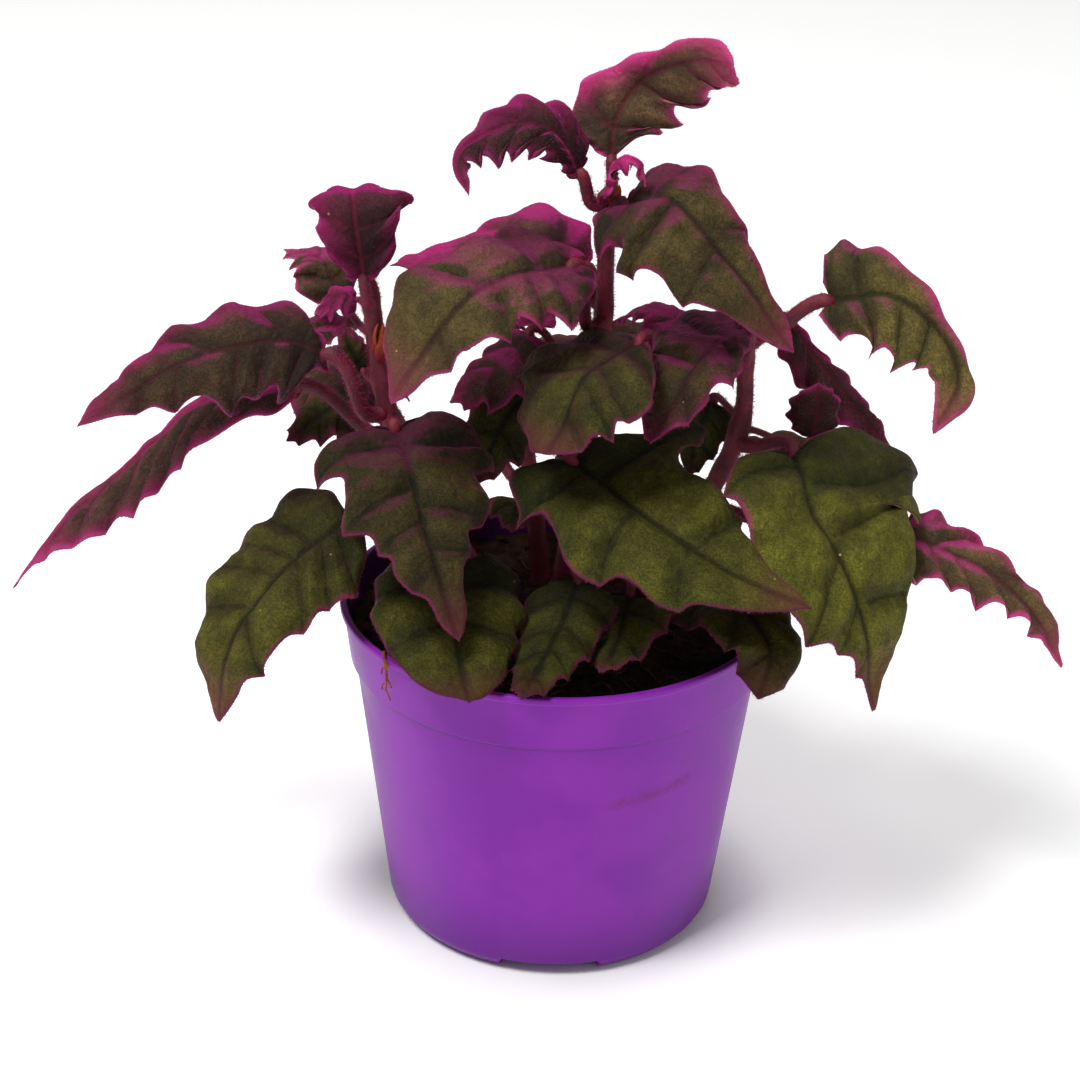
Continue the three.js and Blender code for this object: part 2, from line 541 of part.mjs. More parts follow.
// A leaf's stalk leaves the stem square to it and bends into the blade's midrib.
function leafCurves(leaf) {
  const stem = STEMS[leaf.stem];
  const line = stemCurve(stem);
  let along = 0;
  while (along < 1 && line.getPointAt(along).z < leaf.joint) along += 0.005;
  const joint = line.getPointAt(Math.min(along, 1));
  const up = line.getTangentAt(Math.min(along, 1));
  const blade = new THREE.CatmullRomCurve3(leaf.rib.map(vector), false, "catmullrom");
  const base = blade.getPointAt(0);
  const out = base.clone().sub(joint);
  out.addScaledVector(up, -out.dot(up)).normalize();
  const start = joint.clone().addScaledVector(out, stemRadius(stem, along) + GAP);
  const reach = start.distanceTo(base) * 0.4;
  const stalk = new THREE.CubicBezierCurve3(
    start,
    start.clone().addScaledVector(out, reach),
    base.clone().addScaledVector(blade.getTangentAt(0), -reach),
    base,
  );
  return { stalk, blade, out };
}

// The face direction of a blade, carried along a curve with no spin of its own.
function carried(curve, steps, face, from, to) {
  const frames = [];
  let current = face;
  for (let i = 0; i <= steps; i++) {
    const along = from + ((to - from) * i) / steps;
    const tangent = curve.getTangentAt(along);
    current = current.clone().addScaledVector(tangent, -current.dot(tangent)).normalize();
    frames.push({ point: curve.getPointAt(along), tangent, face: current });
  }
  return frames;
}

// The frame at a length along the blade's midrib, straight on past its ends.
function frameAt(frames, length, s) {
  const steps = frames.length - 1;
  const place = THREE.MathUtils.clamp((s / length) * steps, 0, steps);
  const low = Math.min(Math.floor(place), steps - 1);
  const part = place - low;
  const tangent = frames[low].tangent.clone().lerp(frames[low + 1].tangent, part).normalize();
  const point = frames[low].point.clone().lerp(frames[low + 1].point, part);
  point.addScaledVector(tangent, s - (place / steps) * length);
  const face = frames[low].face.clone().lerp(frames[low + 1].face, part).normalize();
  return { point, face, side: tangent.clone().cross(face) };
}

// How wide a regular blade is along its midrib, and its teeth, which lean forward with the side veins.
const bladeShape = (u, taper) =>
  FULLNESS * (1 - u) ** taper * (1 - (1 - FOOT_WIDTH) * Math.exp(-u / FOOT_LENGTH));
const toothStart = (k, teeth) => FIRST_TOOTH + TOOTHED_LENGTH * (k / teeth) ** 0.92;
const lobeSlant = (leaf, u) =>
  THREE.MathUtils.lerp(leaf.lobe ?? LOBE_SLANT, ROW_SLANT, THREE.MathUtils.smoothstep(u, 0, 0.5));
const ofSide = (value, side) => (Array.isArray(value) ? value[side < 0 ? 0 : 1] : value);

function regularEdge(leaf, wide, length) {
  const stops = [[0, 1 - TOOTH_BITE / 2]];
  for (let k = 0; k < leaf.teeth; k++) {
    const from = toothStart(k, leaf.teeth);
    const to = toothStart(k + 1, leaf.teeth);
    stops.push([from, 1 - (k ? TOOTH_BITE : 0)]);
    stops.push([from + 0.45 * (to - from), 1 - 0.4 * TOOTH_BITE]);
    stops.push([from + 0.8 * (to - from), 1 + 0.2 * TOOTH_BITE]);
  }
  stops.push([toothStart(leaf.teeth, leaf.teeth), 1 - 0.5 * TOOTH_BITE], [1, 0]);
  return stops.map(([u, reach]) => {
    const out = bladeShape(u, leaf.taper ?? TAPER) * wide * reach;
    return [u * length + lobeSlant(leaf, u) * out, out];
  });
}

// The edge of one side with more points put into its longest stretches until it has enough.
function filledEdge(points, count) {
  const edge = points.map(([along, out]) => new THREE.Vector2(along, out));
  while (edge.length < count) {
    let longest = 1;
    for (let i = 2; i < edge.length; i++) {
      if (edge[i].distanceTo(edge[i - 1]) > edge[longest].distanceTo(edge[longest - 1])) longest = i;
    }
    edge.splice(longest, 0, edge[longest].clone().lerp(edge[longest - 1], 0.5));
  }
  return edge;
}

// How far along the edge each of its points lies, as a share.
function edgeShares(edge) {
  const runs = [0];
  for (let i = 1; i < edge.length; i++) runs.push(runs[i - 1] + edge[i].distanceTo(edge[i - 1]));
  return runs.map((run) => run / runs[runs.length - 1]);
}

// The rows of a blade: each runs from its foot on the midrib out to a point of both edges.
function bladeRows(leaf, length) {
  const left = leaf.leftEdge ?? regularEdge(leaf, leaf.left, length);
  const right = leaf.rightEdge ?? regularEdge(leaf, leaf.right, length);
  const count = Math.max(left.length, right.length);
  const edges = [filledEdge(left, count), filledEdge(right, count)];
  const shares = edges.map(edgeShares);
  return Array.from({ length: count - 1 }, (_, i) => ({
    foot: length * ((shares[0][i] + shares[1][i]) / 2) ** VEIN_PACE,
    ends: [edges[0][i], edges[1][i]],
  }));
}

// Where a point t out from the rib comes to lie across and down, and the slope of the blade there.
function bend(leaf, side, t, end) {
  const fold = ofSide(leaf.fold, side);
  const curl = ofSide(leaf.curl, side);
  const rolled = ofSide(leaf.rolled ?? OLD_ROLL + (YOUNG_ROLL - OLD_ROLL) * (1 - leaf.age), side);
  const wide = side < 0 ? leaf.left : leaf.right;
  const slope = (q) => {
    const atEdge = THREE.MathUtils.smoothstep(q / end, ROLL_START, ROLL_END);
    return THREE.MathUtils.degToRad(fold + curl * (q / wide) ** 2 + rolled * atEdge);
  };
  let across = 0;
  let drop = 0;
  for (let i = 0; i < BEND_STEPS; i++) {
    const here = slope((t * (i + 0.5)) / BEND_STEPS);
    across += (t / BEND_STEPS) * Math.cos(here);
    drop += (t / BEND_STEPS) * Math.sin(here);
  }
  return { across, drop, slope: slope(t) };
}

// One closed ring across the blade: five points over the top face and five back under it.
function bladeRing(leaf, frames, length, row) {
  const top = [];
  const under = [];
  for (const v of [-1, -0.6, 0, 0.6, 1]) {
    const end = row.ends[v < 0 ? 0 : 1];
    const t = end.y * Math.abs(v);
    const s = row.foot + (end.x - row.foot) * Math.abs(v) ** VEIN_ARCH;
    const { point, face, side } = frameAt(frames, length, s);
    const { across, drop, slope } = bend(leaf, v, t, end.y);
    const middle = point.clone().addScaledVector(side, Math.sign(v) * across).addScaledVector(face, -drop);
    const lean = Math.sign(v) * Math.sin(slope);
    const normal = face.clone().multiplyScalar(Math.cos(slope)).addScaledVector(side, lean);
    const rib = v === 0 ? RIB_DEPTH * (1 - row.foot / length) : 0;
    top.push(middle.clone().addScaledVector(normal, BLADE_THICKNESS / 2));
    under.unshift(middle.clone().addScaledVector(normal, -BLADE_THICKNESS / 2 - rib));
  }
  return [...top, ...under];
}

// A round ring of ten points, from the left over the top to the right and back underneath.
function stalkRing({ point, tangent, face }, wide, deep) {
  const side = tangent.clone().cross(face);
  return [180, 140, 90, 40, 0, -20, -55, -90, -125, -160].map((degrees) => {
    const angle = THREE.MathUtils.degToRad(degrees);
    return point
      .clone()
      .addScaledVector(side, wide * Math.cos(angle))
      .addScaledVector(face, deep * Math.sin(angle));
  });
}

function leafGeometry(leaf) {
  const { stalk, blade, out } = leafCurves(leaf);
  const length = blade.getLength();
  const tangent = blade.getTangentAt(0.5);
  const upward = leaf.faces ? vector(leaf.faces) : new THREE.Vector3(0, 0, 1).addScaledVector(out, -0.2);
  upward.addScaledVector(tangent, -upward.dot(tangent)).normalize();
  upward.applyAxisAngle(tangent, THREE.MathUtils.degToRad(leaf.roll));
  const firstHalf = carried(blade, BLADE_STEPS, upward, 0.5, 0).reverse();
  const frames = [...firstHalf, ...carried(blade, BLADE_STEPS, upward, 0.5, 1).slice(1)];
  const thick = THREE.MathUtils.clamp(0.55 + 0.022 * length, 0.8, 1.9);
  const stalkFrames = carried(stalk, BLADE_STEPS, frames[0].face, 1, 0).reverse();
  const rings = [];
  for (let j = 0; j < STALK_STEPS; j++) {
    const frame = stalkFrames[Math.round(((BLADE_STEPS - 3) * j) / (STALK_STEPS - 1))];
    rings.push(stalkRing(frame, thick, thick * 0.9));
  }
  for (const row of bladeRows(leaf, length)) rings.push(bladeRing(leaf, frames, length, row));
  rings.push(stalkRing(frames[frames.length - 1], TIP_WIDTH, TIP_DEPTH));
  return skin(rings, (k) => [0, 1, 5, 6].includes(k));
}

// The soil: it fills the pot nearly to the rim, lumpy on top, with a plain hole for each stem.
function soilGeometry() {
  const lump = (x, y) =>
    LUMP_HEIGHT * (Math.sin(x * 0.31 + 1) * Math.cos(y * 0.27) + 0.5 * Math.sin(x * 0.73 - y * 0.61));
  const floor = FLOOR_RISE + WALL + GAP;
  const ringAt = (radius, height) =>
    Array.from({ length: SOIL_SIDES }, (_, k) => {
      const angle = (2 * Math.PI * k) / SOIL_SIDES;
      const x = radius * Math.cos(angle);
      const y = radius * Math.sin(angle);
      return new THREE.Vector3(x, y, height ?? SOIL_TOP + lump(x, y));
    });
  const inset = (z) => insideRadius(z) - 2 * GAP;
  const bandFoot = POT_HEIGHT - BAND_HEIGHT;
  const rings = [
    ringAt(inset(floor) - FOOT_CORNER - WALL, floor),
    ringAt(inset(floor + FOOT_CORNER) - 2 * GAP, floor + FOOT_CORNER),
    ringAt(inset(bandFoot - WALL), bandFoot - WALL),
    ringAt(inset(bandFoot + INNER_STEP), bandFoot + INNER_STEP),
    ringAt(inset(SOIL_TOP), SOIL_TOP - 2 * LUMP_HEIGHT),
  ];
  for (let j = 0; j < SOIL_RINGS; j++) rings.push(ringAt((inset(SOIL_TOP) - GAP) * (1 - j / SOIL_RINGS)));
  rings.push(ringAt(1));
  let solid = solidOf(skin(rings, () => true));
  for (const stem of Object.values(STEMS)) {
    const foot = vector(stem.foot);
    const line = vector(stem.path[0]).sub(foot);
    const radius = stem.thick / 2 + 2 * GAP;
    const hole = new THREE.CylinderGeometry(radius, radius, line.length() + 2, 12);
    const upright = new THREE.Vector3(0, 1, 0);
    const turn = new THREE.Quaternion().setFromUnitVectors(upright, line.clone().normalize());
    hole.applyQuaternion(turn).translate(...foot.clone().addScaledVector(line, 0.48).toArray());
    solid = solid.subtract(solidOf(hole));
  }
  return geometryOf(solid);
}

const plant = new THREE.Group();

function place(name, geometry, finish) {
  const mesh = new THREE.Mesh(geometry, new THREE.MeshStandardMaterial({ ...finish, metalness: 0 }));
  mesh.name = name;
  plant.add(mesh);
}

place("pot", potGeometry(), POT_FINISH);
place("soil", soilGeometry(), SOIL_FINISH);
for (const [name, stem] of Object.entries(STEMS)) place("stem_" + name, stemGeometry(stem), STEM_FINISH);
for (const leaf of LEAVES) {
  const color = new THREE.Color(YOUNG_COLOUR).lerp(new THREE.Color(OLD_COLOUR), leaf.age);
  place(leaf.name, leafGeometry(leaf), { color, roughness: LEAF_ROUGHNESS });
}

const middle = new THREE.Box3().setFromObject(plant).getCenter(new THREE.Vector3());
plant.position.set(-middle.x, -middle.y, 0);

export default plant;
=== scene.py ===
# A potted purple passion plant: velvet leaves with hooked purple teeth on hairy stems, in a nursery pot.
# Its sizes are in millimetres around the middle of the pot's foot, as in its solids. Meshes are in metres.

import math
import random
from functools import cache

import bpy
import numpy as np
from mathutils import Matrix, Vector, noise


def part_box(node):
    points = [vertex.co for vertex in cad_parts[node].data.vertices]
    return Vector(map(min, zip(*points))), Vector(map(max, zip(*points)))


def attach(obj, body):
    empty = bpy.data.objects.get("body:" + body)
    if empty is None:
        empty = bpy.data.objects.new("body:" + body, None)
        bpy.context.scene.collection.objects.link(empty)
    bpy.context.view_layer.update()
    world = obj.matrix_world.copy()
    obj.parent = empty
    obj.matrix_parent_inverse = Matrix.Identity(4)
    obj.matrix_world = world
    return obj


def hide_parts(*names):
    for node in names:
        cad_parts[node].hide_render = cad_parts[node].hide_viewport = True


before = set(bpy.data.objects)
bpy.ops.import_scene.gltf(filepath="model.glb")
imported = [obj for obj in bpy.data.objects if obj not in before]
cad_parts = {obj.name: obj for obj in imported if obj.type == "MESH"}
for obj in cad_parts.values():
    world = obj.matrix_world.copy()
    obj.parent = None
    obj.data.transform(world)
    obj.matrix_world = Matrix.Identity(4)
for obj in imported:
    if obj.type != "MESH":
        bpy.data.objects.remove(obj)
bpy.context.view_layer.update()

# The viewpoint: a little above the rim, from the side where the large old leaves hang over the pot.
# A long lens from 70 cm away, with the camera rolled by hardly more than a degree.
MM = 0.001
VIEW_DISTANCE = 700
VIEW_HEIGHT = math.radians(25.74)
VIEW_ROLL = math.radians(1.31)
VIEW_TARGET = (-5.2, 0, 111.3)
FOCAL_PIXELS = 2561
PHOTO_PIXELS = 1080
SENSOR = 36
NEAREST_SEEN = 10

pot_low, pot_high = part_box("pot")
POT_AXIS = np.array([(pot_low.x + pot_high.x) / 2, (pot_low.y + pot_high.y) / 2, 0])


def metres(points):
    return np.asarray(points, float) * MM + POT_AXIS


def place_camera():
    back = Vector((0, -math.cos(VIEW_HEIGHT), math.sin(VIEW_HEIGHT)))
    level = Vector((1, 0, 0))
    upright = back.cross(level)
    right = level * math.cos(VIEW_ROLL) + upright * math.sin(VIEW_ROLL)
    top = upright * math.cos(VIEW_ROLL) - level * math.sin(VIEW_ROLL)
    lens = bpy.data.cameras.new("camera")
    lens.sensor_width = SENSOR
    lens.lens = SENSOR * FOCAL_PIXELS / PHOTO_PIXELS
    lens.clip_start = NEAREST_SEEN * MM
    camera = bpy.data.objects.new("camera", lens)
    bpy.context.scene.collection.objects.link(camera)
    camera.matrix_world = Matrix((right, top, back)).transposed().to_4x4()
    camera.matrix_world.translation = Vector(metres(VIEW_TARGET)) + back * VIEW_DISTANCE * MM
    bpy.context.scene.camera = camera


place_camera()

# The pot: one thin wall of violet polypropylene, injection moulded with a rounded lip, a deeper band
# under it, a foot ring with notches and drain holes in its floor. It has a faint orange-peel skin, a rubbed
# brown smear, a few specks of dirt and a darker foot.
RIM_RADIUS = (pot_high.x - pot_low.x) / 2 / MM
POT_HEIGHT = pot_high.z / MM
FOOT_RADIUS = 46
WALL = 1.3
LIP_PROUD = 0.7
LIP_HEIGHT = 2.2
BAND_HEIGHT = 16.5
BAND_FOOT = POT_HEIGHT - BAND_HEIGHT
BAND_STEP = 1.3
INNER_STEP = 2
FOOT_CORNER = 5
FOOT_RING_WIDTH = 5
FLOOR_RISE = 5
EDGE_ROUND = 0.5
LIP_ROUND = 0.7
INNER_ROUND = 0.8
FLOOR_ROUND = 1.5
NOTCHES = 4
NOTCH_WIDTH = 28
NOTCH_HEIGHT = 4.2
NOTCH_EDGE = 1.2
NOTCH_TURN = math.radians(-90)
DRAIN_RADIUS = 3.5
DRAIN_RING = 27
DRAIN_CUT = (-2, FLOOR_RISE + 4)
DRAIN_SIDES = 32
POT_SIDES = 240
POT_CREASE = 40
AXIS_SPOT = Vector(POT_AXIS / MM)

VIOLET = "#7a159c"
PALE_VIOLET = "#9430ae"
FOOT_VIOLET = "#601580"
PALE_SHARE = 0.4
FOOT_SHADE = 0.75
FOOT_SHADE_TOP = 26
# Painted shadow: a soft dark line of the foot's violet just under the step at the foot of the band.
BAND_SHADOW_SHARE = 0.65
BAND_SHADOW_DROP = 0.4
BAND_SHADOW_WIDTH = (0.2, 1.4)
SMEAR_BROWN = "#6b1c50"
SMEAR_START = (12.6, -52.1, 58.2)
SMEAR_END = (37.1, -39.1, 61.2)
SMEAR_HALF_WIDTH = (0.3, 3.0)
SMEAR_FADE_IN = (-1, 6)
SMEAR_FADE_OUT = (-3, 1)
SMEAR_DEPTH = (8, 10)
SMEAR_STREAKS = (0.1, 0.55)
# Painted shade: the inner side of the wall above the compost is painted almost black.
INNER_SHADE = "#23101c"
INNER_SHADE_SHARE = 0.85
INNER_SHADE_EDGE = 0.3
DIRT_BROWN = "#3a1d2a"
DIRT_SHARE = 0.8
PLASTIC_ROUGHNESS = (0.36, 0.46)
SMEAR_ROUGHNESS = 0.2


def paint(code):
    """The linear colour of an sRGB code."""
    parts = [int(code[i : i + 2], 16) / 255 for i in (1, 3, 5)]
    return (*[p / 12.92 if p <= 0.04045 else ((p + 0.055) / 1.055) ** 2.4 for p in parts], 1)


def body_radius(z):
    return FOOT_RADIUS + (RIM_RADIUS - LIP_PROUD - BAND_STEP - FOOT_RADIUS) * z / POT_HEIGHT


def inside_radius(z):
    return body_radius(z) - WALL + (BAND_STEP if z >= BAND_FOOT else 0)


def rounded(corners, steps=5):
    """A profile through corners of (radius, height, rounding), each rounded off by a curve."""
    line = []
    for i, (r, z, rounding) in enumerate(corners):
        here = np.array([r, z], float)
        if not rounding:
            line.append(here)
            continue
        before = np.array(corners[i - 1][:2]) - here
        after = np.array(corners[i + 1][:2]) - here
        start = here + before * min(0.5, rounding / np.linalg.norm(before))
        end = here + after * min(0.5, rounding / np.linalg.norm(after))
        for t in np.linspace(0, 1, steps):
            line.append(start * (1 - t) ** 2 + here * 2 * t * (1 - t) + end * t**2)
    return np.array(line)


def strips(rings, sides):
    """Four-sided faces between closed rings of points."""
    faces = []
    for j in range(rings - 1):
        for k in range(sides):
            a = j * sides + k
            b = j * sides + (k + 1) % sides
            faces.append((a, b, b + sides, a + sides))
    return faces


def wrapped(rings, sides):
    """The faces of a closed body of rings, whose two end points follow the rings."""
    faces = strips(rings, sides)
    first, last = rings * sides, rings * sides + 1
    top = (rings - 1) * sides
    for k in range(sides):
        faces.append((k, first, (k + 1) % sides))
        faces.append((top + (k + 1) % sides, last, top + k))
    return faces


def turned(line, sides):
    """Points and faces of a closed body turned from a profile that starts and ends on the axis."""
    angles = np.linspace(0, 2 * np.pi, sides, endpoint=False)
    rings = line[1:-1]
    x = rings[:, None, 0] * np.cos(angles)
    y = rings[:, None, 0] * np.sin(angles)
    z = np.repeat(rings[:, None, 1], sides, axis=1)
    ends = [[0, 0, line[0, 1]], [0, 0, line[-1, 1]]]
    return np.vstack([np.stack([x, y, z], -1).reshape(-1, 3), ends]), wrapped(len(rings), sides)


def make_piece(name, points, faces, finishes, choice=None, crease=None):
    """A mesh object from points in millimetres. choice gives each face's finish."""
    mesh = bpy.data.meshes.new(name)
    mesh.from_pydata(metres(points).tolist(), [], faces)
    for finish in finishes:
        mesh.materials.append(finish)
    mesh.shade_smooth()
    if choice is not None:
        mesh.polygons.foreach_set("material_index", choice)
    if crease:
        mesh.set_sharp_from_angle(angle=math.radians(crease))
    piece = bpy.data.objects.new(name, mesh)
    bpy.context.scene.collection.objects.link(piece)
    return piece


def belongs(piece, slot, *nodes):
    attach(piece, "root")
    if nodes:
        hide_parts(*nodes)


def give(tree, node, inputs):
    """A socket is linked to the node's input of that name, and any other value is set on it."""
    for key, value in inputs.items():
        if isinstance(value, bpy.types.NodeSocket):
            tree.links.new(value, node.inputs[key])
        else:
            node.inputs[key].default_value = value


def add(tree, kind, inputs=None, **settings):
    made = tree.nodes.new("ShaderNode" + kind)
    for key, value in settings.items():
        setattr(made, key, value)
    give(tree, made, inputs or {})
    return made


def ramp(tree, value, low, high, to_low=0.0, to_high=1.0):
    """The value's way from low to high, smoothed, as a way from to_low to to_high."""
    inputs = {"Value": value, "From Min": low, "From Max": high, "To Min": to_low, "To Max": to_high}
    return add(tree, "MapRange", inputs, interpolation_type="SMOOTHSTEP").outputs["Result"]


def blend(tree, share, first, second):
    return add(tree, "Mix", {0: share, 6: first, 7: second}, data_type="RGBA").outputs[2]


def combine(tree, how, first, second=0):
    return add(tree, "Math", {0: first, 1: second}, operation=how).outputs[0]


def product(tree, first, *others):
    for other in others:
        first = combine(tree, "MULTIPLY", first, other)
    return first


def vector(tree, how, inputs, output="Vector"):
    return add(tree, "VectorMath", inputs, operation=how).outputs[output]


def parted(tree, value):
    """The X, Y and Z of a vector."""
    return add(tree, "SeparateXYZ", {0: value}).outputs


def relief_normal(tree, height, strength, depth):
    """The normal of a surface with relief, where a height of 1 stands out by depth in millimetres."""
    inputs = {"Height": height, "Strength": strength, "Distance": depth * MM}
    return add(tree, "Bump", inputs).outputs["Normal"]


def new_finish(name):
    """A material with its tree, its shader and the place on the object in millimetres."""
    finish = bpy.data.materials.new(name)
    finish.use_nodes = True
    tree = finish.node_tree
    spot = add(tree, "TexCoord").outputs["Object"]
    return finish, tree, tree.nodes["Principled BSDF"], vector(tree, "SCALE", {0: spot, "Scale": 1 / MM})


def new_group(name, inputs, outputs):
    """A shader node group with named inputs and outputs."""
    group = bpy.data.node_groups.new(name, "ShaderNodeTree")
    for direction, sockets in (("INPUT", inputs), ("OUTPUT", outputs)):
        for socket, kind in sockets.items():
            group.interface.new_socket(socket, in_out=direction, socket_type="NodeSocket" + kind)
    given = group.nodes.new("NodeGroupInput").outputs
    asked = group.nodes.new("NodeGroupOutput")
    return group, given, asked


def place_group(tree, group, inputs):
    made = add(tree, "Group", node_tree=group)
    give(tree, made, inputs)
    return made.outputs


def make_speck_group():
    """Small scattered specks: grit on the pot, pale grains on the leaves."""
    group, given, asked = new_group(
        "specks",
        {"Place": "Vector", "Spacing": "Float", "Size": "Float", "Share": "Float"},
        {"Specks": "Float"},
    )
    scale = combine(group, "DIVIDE", 1.0, given["Spacing"])
    cells = add(group, "TexVoronoi", {"Vector": given["Place"], "Scale": scale, "Randomness": 1.0})
    apart = product(group, cells.outputs["Distance"], given["Spacing"])
    inside = combine(group, "LESS_THAN", apart, given["Size"])
    lot = add(group, "SeparateColor", {"Color": cells.outputs["Color"]}).outputs[0]
    chosen = combine(group, "LESS_THAN", lot, given["Share"])
    give(group, asked, {"Specks": product(group, inside, chosen)})
    return group


def make_grain_group():
    """Uneven colour and a fine rough skin, at two sizes."""
    group, given, asked = new_group(
        "grain",
        {"Place": "Vector", "Coarse": "Float", "Fine": "Float"},
        {"Patches": "Float", "Grain": "Float"},
    )
    for size, output in (("Coarse", "Patches"), ("Fine", "Grain")):
        scale = combine(group, "DIVIDE", 1.0, given[size])
        texture = add(group, "TexNoise", {"Vector": given["Place"], "Scale": scale, "Detail": 4.0})
        give(group, asked, {output: ramp(group, texture.outputs["Fac"], 0.3, 0.7)})
    return group


SPECKS = make_speck_group()
GRAIN = make_grain_group()


def smear_mask(tree, place):
    """A thin streaked line on the outside of the wall, from the smear's start to its end."""
    start, end = Vector(SMEAR_START), Vector(SMEAR_END)
    heading, length = (end - start).normalized(), (end - start).length
    from_start = vector(tree, "SUBTRACT", {0: place, 1: start + AXIS_SPOT})
    along = vector(tree, "DOT_PRODUCT", {0: from_start, 1: heading}, "Value")
    rise = combine(tree, "SUBTRACT", parted(tree, from_start)["Z"], product(tree, along, heading.z))
    depth = parted(tree, vector(tree, "CROSS_PRODUCT", {0: from_start, 1: heading}))["Z"]
    streaks = add(tree, "TexNoise", {"Vector": place, "Scale": 0.55, "Detail": 5.0, "Roughness": 0.7})
    return product(
        tree,
        ramp(tree, combine(tree, "ABSOLUTE", rise), *SMEAR_HALF_WIDTH, 1, 0),
        ramp(tree, along, *SMEAR_FADE_IN, 0, 1),
        ramp(tree, along, length + SMEAR_FADE_OUT[0], length + SMEAR_FADE_OUT[1], 1, 0),
        ramp(tree, combine(tree, "ABSOLUTE", depth), *SMEAR_DEPTH, 1, 0),
        ramp(tree, streaks.outputs["Fac"], 0.3, 0.7, *SMEAR_STREAKS),
    )


def inner_shade_mask(tree, place, height):
    """The inner side of the wall where the deeper band stands above the compost, where it is painted dark as
    shade.
    """
    flat = vector(tree, "MULTIPLY", {0: vector(tree, "SUBTRACT", {0: place, 1: AXIS_SPOT}), 1: (1, 1, 0)})
    slope = (body_radius(POT_HEIGHT) - FOOT_RADIUS) / POT_HEIGHT
    radius = vector(tree, "LENGTH", {0: flat}, "Value")
    depth = combine(tree, "SUBTRACT", product(tree, height, slope), radius)
    middle = FOOT_RADIUS + BAND_STEP - WALL / 2
    inside = ramp(tree, depth, -middle, INNER_SHADE_EDGE - middle)
    return product(tree, inside, ramp(tree, height, BAND_FOOT + INNER_STEP, BAND_FOOT + INNER_STEP + 1))


def violet_plastic():
    finish, tree, shader, place = new_finish("violet_plastic")
    grain = place_group(tree, GRAIN, {"Place": place, "Coarse": 26.0, "Fine": 0.5})
    dirt = place_group(tree, SPECKS, {"Place": place, "Spacing": 5.0, "Size": 0.28, "Share": 0.08})
    height = parted(tree, place)["Z"]
    # The painted shadow under the band's step, darkest on a line just below the band's foot.
    band_shadow_gap = combine(tree, "ABSOLUTE", combine(tree, "SUBTRACT", height, BAND_FOOT - BAND_SHADOW_DROP))
    smear = smear_mask(tree, place)
    inner = inner_shade_mask(tree, place, height)
    colour = blend(tree, ramp(tree, grain["Patches"], 0, 1, 0, PALE_SHARE), paint(VIOLET), paint(PALE_VIOLET))
    for share, code in (
        (ramp(tree, height, 0, FOOT_SHADE_TOP, FOOT_SHADE, 0), FOOT_VIOLET),
        (ramp(tree, band_shadow_gap, *BAND_SHADOW_WIDTH, BAND_SHADOW_SHARE, 0), FOOT_VIOLET),
        (smear, SMEAR_BROWN),
        (product(tree, dirt["Specks"], DIRT_SHARE), DIRT_BROWN),
        # Painted shade on the inner wall above the compost.
        (product(tree, inner, INNER_SHADE_SHARE), INNER_SHADE),
    ):
        colour = blend(tree, share, colour, paint(code))
    rough = ramp(tree, grain["Patches"], 0, 1, *PLASTIC_ROUGHNESS)
    give(tree, shader, {
        "Base Color": colour,
        "Roughness": combine(tree, "ADD", rough, product(tree, smear, SMEAR_ROUGHNESS)),
        "Normal": relief_normal(tree, grain["Grain"], 0.12, 0.1),
        "IOR": 1.49,
        "Specular IOR Level": 0.22,
        "Subsurface Weight": 0.06,
        "Subsurface Radius": (0.004, 0.001, 0.005),
    })
    return finish


def pot_profile():
    """Half of a cut through the pot: under its floor, up the outside, over the lip and down the inside."""
    lip_foot = POT_HEIGHT - LIP_HEIGHT
    ring = FOOT_RADIUS - FOOT_CORNER + 1
    inner_ring = ring - FOOT_RING_WIDTH
    corners = [
        (0, FLOOR_RISE, 0),
        (inner_ring, FLOOR_RISE, EDGE_ROUND),
        (inner_ring + 0.5, 0, 0.4),
        (ring, 0, 0),
    ]
    for degrees in range(15, 91, 15):
        swing = math.radians(degrees)
        rise = FOOT_CORNER * (1 - math.cos(swing))
        corners.append((body_radius(rise) - FOOT_CORNER * (1 - math.sin(swing)), rise, 0))
    corners += [
        (body_radius(BAND_FOOT - 0.5), BAND_FOOT - 0.5, EDGE_ROUND),
        (body_radius(BAND_FOOT) + BAND_STEP, BAND_FOOT, LIP_ROUND),
        (body_radius(lip_foot) + BAND_STEP, lip_foot, EDGE_ROUND),
        (RIM_RADIUS, lip_foot + 0.4, EDGE_ROUND),
        (RIM_RADIUS, POT_HEIGHT, LIP_ROUND),
        (inside_radius(POT_HEIGHT), POT_HEIGHT, LIP_ROUND),
        (inside_radius(BAND_FOOT + INNER_STEP), BAND_FOOT + INNER_STEP, INNER_ROUND),
        (inside_radius(BAND_FOOT - WALL), BAND_FOOT - WALL, INNER_ROUND),
        (inside_radius(FLOOR_RISE + FOOT_CORNER) - 0.4, FLOOR_RISE + FOOT_CORNER, FLOOR_ROUND),
        (inside_radius(FLOOR_RISE) - FOOT_CORNER, FLOOR_RISE + WALL, FLOOR_ROUND),
        (0, FLOOR_RISE + WALL, 0),
    ]
    return rounded(corners)


def joined(parts):
    """One list of points and one of faces from several."""
    points, faces, count = [], [], 0
    for part_points, part_faces in parts:
        points.append(part_points)
        faces += [tuple(v + count for v in face) for face in part_faces]
        count += len(part_points)
    return np.vstack(points), faces


